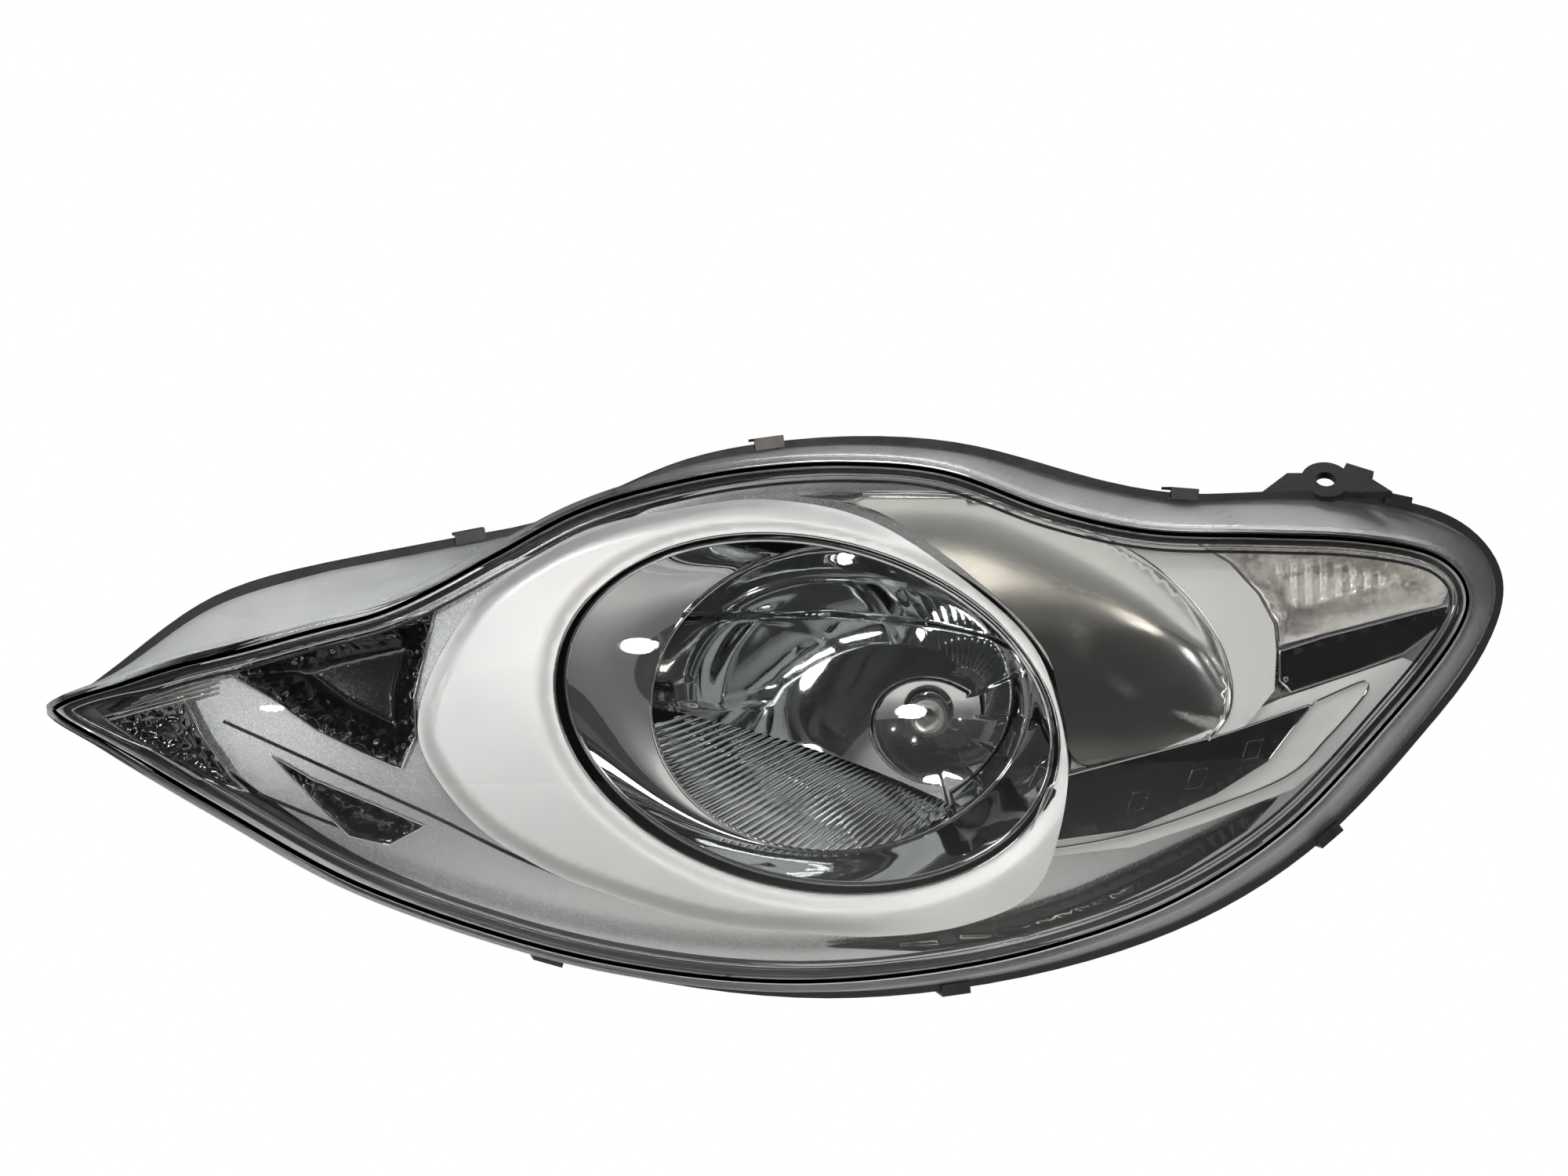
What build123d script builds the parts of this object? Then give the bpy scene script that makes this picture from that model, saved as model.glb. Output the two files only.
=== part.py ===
"""Car headlight assembly: a clear lens on a black housing, with an aimable reflector inside.

Millimetres. +X runs along the lamp towards its outer end, +Y points back into the car, +Z is up.
The origin is the centre of the fixing hole in the upper outer bracket. Most sketches are laid out
from the optical axis, which runs along Y through AXIS, and y = 0 there is the seat of the bulb.
"""

import os
from math import atan2, cos, hypot, radians, sin

from build123d import *

os.makedirs("parts", exist_ok=True)

# ---------------------------------------------------------------- driving dimensions
AXIS = Vector(-181, 36, -110)  # bulb seat on the optical axis, from the fixing hole

SWEEP = 15.4  # the seam between lens and housing runs back by this angle towards the outer end
SEAM_Y = -88.1  # where the seam plane crosses the optical axis
LENS_FRONT = 56  # a plane this far in front of the seam clears the whole lens
LENS_WALL = 3.0
LENS_TIP_X, LENS_LENGTH, LENS_TIP_Y = -370, 610, -202
LENS_SWEEP, LENS_CURVE = 0.05, 0.19  # how its depth grows along the lamp, by length
LENS_RAKE, LENS_CROWN = 0.05, 0.0012  # and with height, per mm and per square mm

REAR_WALL_Y = 24  # outside of the housing's flat back
HOUSING_WALL = 3.0
REAR_CENTRE, REAR_RADII = (-24, 4), (112, 88)

FOCAL_LENGTH = 30
VERTEX_Y = -12
REFLECTOR_WALL = 2.5
RING_CENTRE, RING_RADII, RING_SWEEP = (-34, 14), (82, 68), 29.6  # rear edge of the collar
RING_Y = -84
MOUTH_CENTRE, MOUTH_RADII, MOUTH_TILT = (-47, 11), (105, 71), -15.7  # front edge of the collar
MOUTH_Y, MOUTH_SWEEP = -122.5, 13.2

BALL_PLANE_Y = -70  # the pivot and both adjusting balls lie in this plane
PIVOT = (-100, 54)
HEIGHT_BALL = (-100, -44)
SIDE_BALL = (54, 54)
BALL_RADIUS, CUP_GAP = 4.4, 0.5
STEM_RADIUS = 3.2

CAP_NECK_RADIUS = 46  # service opening behind the bulb
CAP_NECK_END = 46
INDICATOR_BULB, INDICATOR_FACE = (-236, 24), -66  # axis, and depth of the boss's floor
POSITION_BULB, POSITION_FACE = (190, 64), 8
HOLDER_TWIST = 50
SOCKET_AT = (-24, 77)  # main electrical socket on the back
MOTOR_AT = HEIGHT_BALL

# Outline of the housing's rim in the swept seam plane, clockwise from the pointed inner tip,
# as (along, up) from the optical axis. SHOULDER is where the lens wall would reach LENS_FRONT.
RIM = [
    (-370, 16), (-342, 36), (-307, 61), (-267, 74), (-232, 81), (-199, 87), (-169, 93),
    (-140, 105), (-107, 119), (-70, 127), (-28, 130), (22, 126), (72, 113), (119, 105),
    (169, 106), (221, 102), (258, 88), (273, 66), (267, 38), (237, -2), (189, -50),
    (134, -84), (74, -104), (14, -114), (-45, -116), (-104, -109), (-166, -94), (-239, -66),
    (-297, -32), (-345, -3),
]
SHOULDER = [
    (-376, 21), (-338, 20), (-300, 15), (-253, 32), (-232, 42), (-216, 56), (-193, 76),
    (-161, 96), (-131, 103), (-87, 111), (-40, 114), (1, 111), (48, 94), (90, 84),
    (139, 78), (178, 74), (217, 70), (236, 57), (233, 40), (208, 8), (162, -40),
    (110, -71), (54, -89), (-2, -98), (-57, -100), (-113, -94), (-171, -80), (-241, -54),
    (-298, -23), (-344, 3),
]


# ---------------------------------------------------------------- planes and helpers
def level(y, at=(0, 0)):
    """Plane across the optical axis at depth y, facing forward, centred at (x, z)."""
    return Plane(AXIS + Vector(at[0], y, at[1]), x_dir=(1, 0, 0), z_dir=(0, -1, 0))


def behind(y, at=(0, 0)):
    """The same plane facing back, for features that grow out of the housing."""
    return Plane(AXIS + Vector(at[0], y, at[1]), x_dir=(-1, 0, 0), z_dir=(0, 1, 0))


def swept(forward, sweep=SWEEP, y=SEAM_Y, at=(0, 0)):
    """Plane turned back by sweep towards the outer end and moved forward along its normal."""
    turn = radians(sweep)
    normal = Vector(sin(turn), -cos(turn), 0)
    origin = AXIS + Vector(at[0], y, at[1]) + normal * forward
    return Plane(origin, x_dir=(cos(turn), sin(turn), 0), z_dir=normal)


def inset(points, amount):
    """A closed clockwise outline moved inward by amount, with mitred corners."""
    moved = []
    for before, here, after in zip(points[-1:] + points[:-1], points, points[1:] + points[:1]):
        into = (here[0] - before[0], here[1] - before[1])
        out = (after[0] - here[0], after[1] - here[1])
        n1 = (into[1] / hypot(*into), -into[0] / hypot(*into))
        n2 = (out[1] / hypot(*out), -out[0] / hypot(*out))
        k = amount / (1 + n1[0] * n2[0] + n1[1] * n2[1])
        moved.append((here[0] + k * (n1[0] + n2[0]), here[1] + k * (n1[1] + n2[1])))
    return moved


def spans(points):
    """Distance along a closed outline to each of its points, as a share of the whole."""
    steps = [hypot(b[0] - a[0], b[1] - a[1]) for a, b in zip(points, points[1:] + points[:1])]
    return [sum(steps[:i]) / sum(steps) for i in range(len(points) + 1)]


def smooth(plane, points):
    """Smooth closed wire through the points; its only corner is at the first one."""
    stations = spans(RIM if len(points) == len(RIM) else points)
    loop = Edge.make_spline([(*p, 0) for p in points + points[:1]], parameters=stations)
    return plane * Wire(loop)


def leaf(plane, points, opening=None):
    """Face inside a smooth outline, with an opening of the same kind if one is given."""
    return Face(smooth(plane, points), [smooth(plane, opening)] if opening else None)


def rear_outline(shrink=0):
    """Points of the housing's oval back, one for each point of RIM and in the same direction."""
    cx, cz = REAR_CENTRE
    a, b = REAR_RADII[0] - shrink, REAR_RADII[1] - shrink
    angles = [atan2(v - cz, u * cos(radians(SWEEP)) - cx) for u, v in RIM]
    return [(cx + a * cos(t), cz + b * sin(t)) for t in angles]


def behind_lens(depth):
    """Everything behind the lens once its outer surface is moved back by depth.

    The surface is swept back along the lamp by one parabola and raked from top to bottom by
    another, so a Bezier patch with nine control points holds it exactly.
    """
    x0, x1, z0, z1 = -430, 340, -170, 190
    tx0, tx1 = (x0 - LENS_TIP_X) / LENS_LENGTH, (x1 - LENS_TIP_X) / LENS_LENGTH
    along = [LENS_SWEEP * (a + b) / 2 + LENS_CURVE * a * b
             for a, b in ((tx0, tx0), (tx0, tx1), (tx1, tx1))]
    rake = [LENS_RAKE * (a + b) / 2 + LENS_CROWN * a * b for a, b in ((z0, z0), (z0, z1), (z1, z1))]
    net = [
        [AXIS + Vector(x, LENS_TIP_Y + depth + LENS_LENGTH * p + q, z)
         for z, q in zip((z0, (z0 + z1) / 2, z1), rake)]
        for x, p in zip((x0, (x0 + x1) / 2, x1), along)
    ]
    return extrude(Face.make_bezier_surface(net), 460, dir=(0, 1, 0))


def skin(points, near, far, corners=False):
    """A panel that follows the lens, from near to far behind it, inside an outline seen in front."""
    if corners:
        face = level(-240) * Face(Wire.make_polygon([(*p, 0) for p in points]))
    else:
        face = leaf(level(-240), points)
    prism = extrude(face, 330, dir=(0, 1, 0))
    return (prism & behind_lens(near)) - behind_lens(far)


def write(builder, name):
    """Labels a finished piece and writes its STEP file."""
    builder.part.label = name
    export_step(builder.part, f"parts/{name}.step")


# ---------------------------------------------------------------- panel outlines, from the front
# Each is (x, z) from the optical axis, clockwise as seen from in front of the lamp.
BEZEL = [
    (-322, 14), (-296, 36), (-260, 55), (-200, 70), (-150, 83), (-100, 104), (-40, 114),
    (20, 110), (70, 97), (120, 89), (170, 89), (210, 84), (238, 70), (244, 52), (228, 24),
    (186, -24), (138, -58), (80, -85), (0, -98), (-80, -95), (-160, -77), (-230, -49), (-284, -13),
]
CRESCENT = [
    (-145, 88), (-105, 98), (-64, 102), (-20, 92), (24, 62), (50, 34), (64, -15), (58, -48),
    (46, -71), (18, -83), (-18, -87), (-51, -85), (-90, -77), (-135, -62), (-161, -50),
    (-186, -32), (-205, -6), (-208, 15), (-197, 43), (-178, 68),
]
SIDE_BOWL = [
    (-26, 105), (25, 103), (73, 88), (105, 69), (126, 45), (134, 24), (133, 8), (124, -3),
    (68, -12), (54, 34), (24, 66), (-20, 97), (-56, 104),
]
CORNER_CELL = [(190, 83), (218, 77), (234, 67), (234, 54), (160, 38), (151, 50), (136, 70),
               (119, 82)]
CORNER_STRIP = [(238, 52), (237, 45), (219, 32), (161, 16), (157, 35)]
WING = [(45, -45), (57, -18), (131, -1), (194, 20), (182, 0), (160, -24), (83, -43)]
INDICATOR_CELL = [(-288, 30), (-253, 44), (-215, 54), (-197, 55), (-206, 32), (-210, 6),
                  (-212, -8), (-240, 1), (-275, 20)]
TIP_CELL = [(-332, 14), (-303, 21), (-294, 7), (-280, -17), (-297, -12), (-318, 1)]


# ---------------------------------------------------------------- housing
def ring(outer, inner, low, high):
    """Band of the seam between two insets of the rim, from one height above the seam to another."""
    band = leaf(swept(low), inset(RIM, outer), inset(RIM, inner))
    return extrude(band, high - low, dir=swept(0).z_dir)


def funnel(at_seam, forward, at_back, y):
    """Solid that narrows from an inset of the rim to the oval back."""
    return loft([leaf(swept(forward), inset(RIM, at_seam)), leaf(level(y), rear_outline(at_back))],
                ruled=True)


EAR_PLANE = Plane((0, 0, 0), x_dir=(1, 0, 0), z_dir=(0, -1, 1))
EAR_THICKNESS, EAR_HOLE_RADIUS = 4.0, 4.5
SCREW_ROOM_RADIUS, SCREW_ROOM = 6.0, 10.0  # space behind the ear for the end of the screw
with BuildPart() as upper_outer_ear:  # leans back, with its hole at the origin
    with BuildSketch(EAR_PLANE.offset(-EAR_THICKNESS / 2)):
        Circle(11)
        with Locations((0, -2)):
            Trapezoid(58, 12, 45)
        with Locations((13, 1)):
            Rectangle(13, 15, rotation=-25)
    extrude(amount=EAR_THICKNESS)

INNER_EAR, INNER_EAR_Z, SMALL_HOLE_RADIUS = (-208, -112), 79, 3.5
with BuildPart() as upper_inner_ear:  # a flat tab that reaches back from the rim
    with BuildSketch(Plane(AXIS + Vector(*INNER_EAR, INNER_EAR_Z))):
        Circle(9)
        with Locations((0, -14)):
            Rectangle(18, 28)
    extrude(amount=3)

LOWER_EAR = (-24, -96)
with BuildPart() as lower_ear:  # hangs from the back wall
    with BuildSketch(level(REAR_WALL_Y, LOWER_EAR)):
        Circle(10)
        with Locations((0, 12)):
            Rectangle(20, 24)
    extrude(amount=4)

HOOK_ANGLES = (20, 140, 260)  # bayonet hooks around the service opening
NECK_WALL = 3.5


def tower(at, radius, front_y, face_y, back_y, hole):
    """Round boss with a floor at face_y, as (outside, hollows in front of and behind the floor)."""
    outside = extrude(level(back_y, at) * Circle(radius), back_y - front_y)
    front = extrude(level(face_y - HOUSING_WALL, at) * Circle(radius - HOUSING_WALL),
                    face_y - HOUSING_WALL - front_y)
    back = extrude(behind(face_y, at) * Circle(radius - HOUSING_WALL), 60)
    notches = level(face_y + 1, at) * Rot(0, 0, HOLDER_TWIST) * Rectangle(2 * hole + 4.4, 8.5)
    through = extrude(level(face_y + 1, at) * Circle(hole), 8) + extrude(notches, 8)
    return outside, [front, back, through]


indicator_tower, indicator_hollows = tower(INDICATOR_BULB, 21, -112, INDICATOR_FACE, -50, 14.6)
position_tower, position_hollows = tower(POSITION_BULB, 17, -22, POSITION_FACE, 8, 10.6)

flange = extrude(leaf(swept(-8), RIM), 11, dir=swept(0).z_dir)
flange_opening = extrude(leaf(swept(-9), inset(RIM, 12.4)), 14, dir=swept(0).z_dir)
body = funnel(5, -6, 0, REAR_WALL_Y)
body_hollow = funnel(12.4, -4, HOUSING_WALL, REAR_WALL_Y - HOUSING_WALL)
lens_groove = [ring(4.5, 9.9, -4, 5), ring(9.8, 13, -1, 5)]

with BuildPart() as rear_housing:
    add([flange, body, indicator_tower, position_tower])
    add([flange_opening, body_hollow, *lens_groove], mode=Mode.SUBTRACT)
    add([*indicator_hollows, *position_hollows], mode=Mode.SUBTRACT)
    with BuildSketch(behind(REAR_WALL_Y - HOUSING_WALL)):
        Circle(CAP_NECK_RADIUS + NECK_WALL)
    extrude(amount=CAP_NECK_END - REAR_WALL_Y + HOUSING_WALL)
    with BuildSketch(behind(0)):
        Circle(CAP_NECK_RADIUS)
    extrude(amount=CAP_NECK_END + 1, mode=Mode.SUBTRACT)
    with BuildSketch(behind(REAR_WALL_Y)):  # hook legs and lips of the bayonet
        with PolarLocations(61.5, 3, start_angle=HOOK_ANGLES[0]):
            Rectangle(3, 15)
    extrude(amount=13)
    with BuildSketch(behind(REAR_WALL_Y + 10)):
        with PolarLocations(58.8, 3, start_angle=HOOK_ANGLES[0]):
            Rectangle(8.4, 15)
    extrude(amount=3)
    with BuildSketch(behind(REAR_WALL_Y - 8)):  # holes for the two stems and the socket's pins
        with Locations((-HEIGHT_BALL[0], HEIGHT_BALL[1]), (-SIDE_BALL[0], SIDE_BALL[1])):
            Circle(5.5)
        with Locations((-SOCKET_AT[0], SOCKET_AT[1])):
            Rectangle(26, 9)
    extrude(amount=12, mode=Mode.SUBTRACT)
    with BuildSketch(behind(REAR_WALL_Y - 1)):  # stiffening ribs across the back
        with Locations((78, 30), (78, -4)):
            Rectangle(44, 2.5)
        with Locations((-70, -26), (-70, -12)):
            Rectangle(24, 2.5)
        with Locations((24, -78)):
            Rectangle(2.5, 14)
    extrude(amount=5)
    add([upper_outer_ear.part, upper_inner_ear.part, lower_ear.part])
    with Locations(EAR_PLANE):
        Hole(EAR_HOLE_RADIUS, EAR_THICKNESS / 2 + 1)
    with Locations(EAR_PLANE.offset(-EAR_THICKNESS / 2 - SCREW_ROOM / 2)):
        Cylinder(SCREW_ROOM_RADIUS, SCREW_ROOM, mode=Mode.SUBTRACT)
    with Locations(Plane(AXIS + Vector(*INNER_EAR, INNER_EAR_Z + 1.5)), level(22, LOWER_EAR)):
        Hole(SMALL_HOLE_RADIUS, 6)
write(rear_housing, "rear_housing")

# ---------------------------------------------------------------- lens, seal and clips
def dome(wall, depth, low):
    """Solid under the lens, shrunk by wall all round and by depth from its front."""
    foot = leaf(swept(low), inset(RIM, LENS_FOOT_INSET + wall))
    shoulder = leaf(swept(LENS_FRONT), inset(SHOULDER, wall))
    return loft([foot, shoulder], ruled=True) & behind_lens(depth)


LENS_FOOT_INSET = 5.1
lens_outside = dome(0, 0, 0)
lens_hollow = dome(LENS_WALL, LENS_WALL, -0.01)
lens_foot = ring(LENS_FOOT_INSET, 9.3, -1.2, 1)
with BuildPart() as front_lens:
    add(lens_outside)
    add(lens_hollow, mode=Mode.SUBTRACT)
    add(lens_foot)
write(front_lens, "front_lens")

seal_bead = ring(4.8, 9.6, -4, -1.2)
with BuildPart() as lens_seal:
    add(seal_bead)
write(lens_seal, "lens_seal")

CLIP_STATIONS = (5, 9, 13, 15, 20, 23, 26, 28)  # points of the rim that carry a spring clip
with BuildPart() as lens_clips:
    for station in CLIP_STATIONS:
        before, here, after = RIM[station - 1], RIM[station], RIM[station + 1]
        along = Vector(after[0] - before[0], after[1] - before[1]).normalized()
        side = swept(0).from_local_coords(Vector(here[0], here[1], 0))
        tangent = swept(0).from_local_coords(Vector(along.X, along.Y, 0)) - swept(0).origin
        clip_plane = Plane(side, x_dir=tangent, z_dir=swept(0).z_dir)
        with BuildSketch(clip_plane.offset(-9)):
            with Locations((0, 1.8)):
                Rectangle(13, 1.2)
        extrude(amount=13.6)
        with BuildSketch(clip_plane.offset(3.4)):
            with Locations((0, -0.2)):
                Rectangle(13, 5.2)
        extrude(amount=1.2)
write(lens_clips, "lens_clips")

# ---------------------------------------------------------------- bezel and trims
CELL_DEPTH = 23  # rims of the lamp cells, behind the lens surface
mouth_face = level(-130, MOUTH_CENTRE) * Rot(0, 0, MOUTH_TILT) * Ellipse(*MOUTH_RADII)
mouth_prism = extrude(mouth_face, 200, dir=(0, 1, 0), both=True)
MOUTH_ROOM = 9  # the bezel keeps this far off the collar, which moves
roomy_radii = [radius + MOUTH_ROOM for radius in MOUTH_RADII]
roomy_face = level(-130, MOUTH_CENTRE) * Rot(0, 0, MOUTH_TILT) * Ellipse(*roomy_radii)
roomy_prism = extrude(roomy_face, 200, dir=(0, 1, 0), both=True)


def trim(panels, cuts):
    """Moulding made of panels, with openings cut through it."""
    with BuildPart() as moulding:
        add(panels)
        add(cuts, mode=Mode.SUBTRACT)
    return moulding


def cell(points, floor, bulb_at, bulb_radius, wall=2.0):
    """Reflector cell whose rim follows the lens, with its floor on a plane and a bulb hole in it."""
    room = extrude(floor * Rectangle(400, 400), 200)
    room_inside = extrude(floor.offset(wall) * Rectangle(400, 400), 200)
    prism, prism_inside = [
        extrude(level(-240) * Face(Wire.make_polygon([(*p, 0) for p in outline])), 300,
                dir=(0, 1, 0))
        for outline in (points, inset(points, wall))
    ]
    hole = extrude(level(0, bulb_at) * Circle(bulb_radius), 220)
    return trim([prism & room & behind_lens(CELL_DEPTH)], [prism_inside & room_inside, hole])


crescent_trim = trim([skin(CRESCENT, 11, 14)], [mouth_prism])
write(crescent_trim, "crescent_trim")

side_reflector = trim([skin(SIDE_BOWL, 15, 17.5)], [skin(CRESCENT, 8, 30), mouth_prism])
write(side_reflector, "side_reflector")

wing_trim = trim([skin(WING, 15, 18, corners=True)],
                 [skin(inset(CRESCENT, -0.4), 8, 30), side_reflector.part])
write(wing_trim, "wing_trim")

corner_strip = trim([skin(CORNER_STRIP, 19, 22, corners=True)], [skin(CORNER_CELL, 8, 30, True)])
write(corner_strip, "corner_strip")

indicator_floor = swept(0, sweep=22, y=-124, at=INDICATOR_BULB)
indicator_reflector = cell(INDICATOR_CELL, indicator_floor, INDICATOR_BULB, 13)
write(indicator_reflector, "indicator_reflector")

corner_floor = swept(0, sweep=13, y=-24, at=POSITION_BULB)
corner_reflector = cell(CORNER_CELL, corner_floor, POSITION_BULB, 6)
write(corner_reflector, "corner_reflector")

marker_reflector = trim([skin(TIP_CELL, 11, 13, corners=True)], [])
write(marker_reflector, "marker_reflector")

bezel_openings = [skin(SIDE_BOWL, 8, 60), roomy_prism]
bezel_openings += [skin(inset(cell, -0.4), 8, 60, True) for cell in (INDICATOR_CELL, CORNER_CELL)]
main_bezel = trim([skin(BEZEL, 24, 26.5)], bezel_openings)
write(main_bezel, "main_bezel")

# ---------------------------------------------------------------- main reflector
mouth = swept(0, sweep=MOUTH_SWEEP, y=MOUTH_Y, at=MOUTH_CENTRE)
ring_plane = swept(0, sweep=RING_SWEEP, y=RING_Y, at=RING_CENTRE)


def bowl(grow):
    """Solid in front of the reflecting surface, moved out by grow for the outside of the shell."""
    sweep_cos = cos(radians(RING_SWEEP))
    rear = ring_plane * Ellipse(RING_RADII[0] / sweep_cos + grow, RING_RADII[1] + grow)
    front_face = Rot(0, 0, MOUTH_TILT) * Ellipse(MOUTH_RADII[0] + grow, MOUTH_RADII[1] + grow)
    front = mouth * front_face
    reach = 135
    with BuildPart() as dish:
        with BuildSketch(Plane(AXIS, x_dir=(1, 0, 0), z_dir=(0, 0, 1))):
            with BuildLine():
                back, edge = VERTEX_Y + grow, VERTEX_Y + grow - reach**2 / (4 * FOCAL_LENGTH)
                Bezier((0, back), (reach / 2, back), (reach, edge))
                Polyline((reach, edge), (0, edge), (0, back))
            make_face()
        revolve(axis=Axis(AXIS, (0, 1, 0)))
    return loft([rear, front], ruled=True) + (extrude(rear, 140, dir=(0, 1, 0)) & dish.part)


NECK_RADIUS, BULB_HOLE_RADIUS = 20, 9.5
CUP_RADIUS, CUP_LENGTH, CUP_BACK_Y = 8.5, 12, -64
bowl_outside, bowl_inside = bowl(REFLECTOR_WALL), bowl(0)
with BuildPart() as main_reflector:
    add(bowl_outside)
    with BuildSketch(level(-1.5)):
        Circle(NECK_RADIUS)
    extrude(amount=16)
    with BuildSketch(level(-76.8, PIVOT)):  # arms that carry the three ball cups
        Circle(5)
    extrude(amount=45)
    with BuildSketch(level(-76, (-100, -38))):
        Rectangle(14, 26)
    extrude(amount=28)
    with BuildSketch(level(-76, (41, 54))):
        Rectangle(40, 15)
    extrude(amount=5)
    add(bowl_inside, mode=Mode.SUBTRACT)
    with BuildSketch(level(0)):
        Circle(BULB_HOLE_RADIUS)
    extrude(amount=30, mode=Mode.SUBTRACT)
write(main_reflector, "main_reflector")


def ball_cup(at):
    """Nylon cup on a reflector arm: a spherical seat that opens to the back."""
    with BuildPart() as cup_body:
        with BuildSketch(level(CUP_BACK_Y, at)):
            Circle(CUP_RADIUS)
        extrude(amount=CUP_LENGTH)
        with Locations(AXIS + Vector(at[0], BALL_PLANE_Y, at[1])):
            Sphere(BALL_RADIUS + CUP_GAP, mode=Mode.SUBTRACT)
        with BuildSketch(behind(BALL_PLANE_Y + 1, at)):
            Circle(3.4)
        extrude(amount=10, taper=-22, mode=Mode.SUBTRACT)
    return cup_body


height_cup, side_cup = ball_cup(HEIGHT_BALL), ball_cup(SIDE_BALL)
with BuildPart() as ball_cups:
    add([height_cup.part, side_cup.part])
write(ball_cups, "ball_cups")

pivot_cup = ball_cup(PIVOT)
write(pivot_cup, "pivot_cup")

with BuildPart() as bulb_seat:
    with BuildSketch(level(0)):
        Circle(18)
        with Locations((0, 17)):
            Rectangle(34, 9)
        with Locations((0, -18)):
            Rectangle(8, 7)
        Circle(BULB_HOLE_RADIUS, mode=Mode.SUBTRACT)
    extrude(amount=1.5)
    with BuildSketch(behind(0)):  # post that the clip's loop latches over
        with Locations((0, -19)):
            Rectangle(4, 2.4)
    extrude(amount=5.5)
    with BuildSketch(behind(0)):  # two ears that hold the clip's pivot ends
        with Locations((-15.5, 17), (15.5, 17)):
            Rectangle(1.5, 8)
    extrude(amount=6)
    with BuildSketch(Plane(AXIS + Vector(0, 3.2, 17), x_dir=(0, 1, 0), z_dir=(1, 0, 0))):
        Circle(1.1)
    extrude(amount=20, both=True, mode=Mode.SUBTRACT)
write(bulb_seat, "bulb_seat")

# ---------------------------------------------------------------- main bulb
with BuildPart() as bulb_base:
    with BuildSketch(behind(0.0)):
        Circle(12.5)
        with Locations((0, 11)):
            Rectangle(6, 5)
    extrude(amount=2)
    with BuildSketch(behind(2)):
        Circle(7)
    extrude(amount=9)
    with BuildSketch(level(0)):
        Circle(8)
    extrude(amount=7)
write(bulb_base, "bulb_base")

with BuildPart() as bulb_glass:
    with BuildSketch(level(-7)):
        Circle(5.75)
    extrude(amount=25)
    fillet(bulb_glass.faces().sort_by(Axis.Y)[0].edges(), 4)
write(bulb_glass, "bulb_glass")

with BuildPart() as bulb_contacts:
    with BuildSketch(behind(11)):
        with Locations((-3, 0), (3, 0)):
            Rectangle(0.8, 6.3)
    extrude(amount=9)
write(bulb_contacts, "bulb_contacts")

with BuildPart() as bulb_plug:
    with BuildSketch(behind(13)):
        RectangleRounded(15, 13, 2)
    extrude(amount=11)
    add(bulb_contacts.part, mode=Mode.SUBTRACT)
write(bulb_plug, "bulb_plug")

# ---------------------------------------------------------------- spring clip over the bulb
CLIP_WIRE = 0.8
clip_route = [(-14.5, 17), (-9, 17), (-9, -16), (9, -16), (9, 17), (14.5, 17)]
with BuildPart() as bulb_clip:
    with BuildLine(behind(3.2)) as clip_line:
        FilletPolyline(*clip_route, radius=2.4)
    with BuildSketch(Plane(clip_line.line @ 0, z_dir=clip_line.line % 0)):
        Circle(CLIP_WIRE)
    sweep()
write(bulb_clip, "bulb_clip")

# ---------------------------------------------------------------- pivot post, stems and adjusters
with BuildPart() as pivot_post:
    with BuildSketch(level(REAR_WALL_Y - HOUSING_WALL, PIVOT)):
        Circle(9)
    with BuildSketch(level(BALL_PLANE_Y + 8, PIVOT)):
        Circle(4)
    loft()
    with BuildSketch(level(BALL_PLANE_Y + 8.5, PIVOT)):
        Circle(2.4)
    extrude(amount=6)
    with Locations(AXIS + Vector(PIVOT[0], BALL_PLANE_Y, PIVOT[1])):
        Sphere(BALL_RADIUS)
write(pivot_post, "pivot_post")


def stem(at, end_y):
    """Adjusting rod with a ball on its front end."""
    with BuildPart() as rod:
        with BuildSketch(level(end_y, at)):
            Circle(STEM_RADIUS)
        extrude(amount=end_y - BALL_PLANE_Y - 8)
        with BuildSketch(level(BALL_PLANE_Y + 9, at)):
            Circle(2.4)
        extrude(amount=7)
        with Locations(AXIS + Vector(at[0], BALL_PLANE_Y, at[1])):
            Sphere(BALL_RADIUS)
    return rod


MOTOR_BACK, GEARCASE_BACK = 58, 38
motor_stem = stem(HEIGHT_BALL, 44)
write(motor_stem, "motor_stem")

side_stem = stem(SIDE_BALL, 27)
write(side_stem, "side_stem")

with BuildPart() as levelling_motor:
    with BuildSketch(behind(REAR_WALL_Y, MOTOR_AT)):
        Circle(19)
        with Locations((0, -14)):
            RectangleRounded(38, 26, 4)
        with Locations((-22, 8), (22, -8)):
            SlotCenterToCenter(14, 9)
    extrude(amount=5)
    with BuildSketch(behind(REAR_WALL_Y + 5, MOTOR_AT)):
        Circle(17)
        with Locations((0, -14)):
            RectangleRounded(34, 24, 4)
    extrude(amount=MOTOR_BACK - REAR_WALL_Y - 5)
    fillet(levelling_motor.faces().sort_by(Axis.Y)[-1].outer_wire().edges(), 1.5)
    with BuildSketch(behind(REAR_WALL_Y - 1, MOTOR_AT)):
        Circle(STEM_RADIUS + 0.4)
    extrude(amount=26, mode=Mode.SUBTRACT)
    with BuildSketch(behind(REAR_WALL_Y - 1, MOTOR_AT)):
        Circle(2.4)
    extrude(amount=50, mode=Mode.SUBTRACT)
    with BuildSketch(behind(MOTOR_BACK - 16, (MOTOR_AT[0], MOTOR_AT[1] - 19))):
        Rectangle(22, 9)
    extrude(amount=20, mode=Mode.SUBTRACT)
    with BuildSketch(behind(REAR_WALL_Y, MOTOR_AT)):
        with Locations((-27, 8), (27, -8)):
            Circle(2)
    extrude(amount=6, mode=Mode.SUBTRACT)
write(levelling_motor, "levelling_motor")

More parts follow.
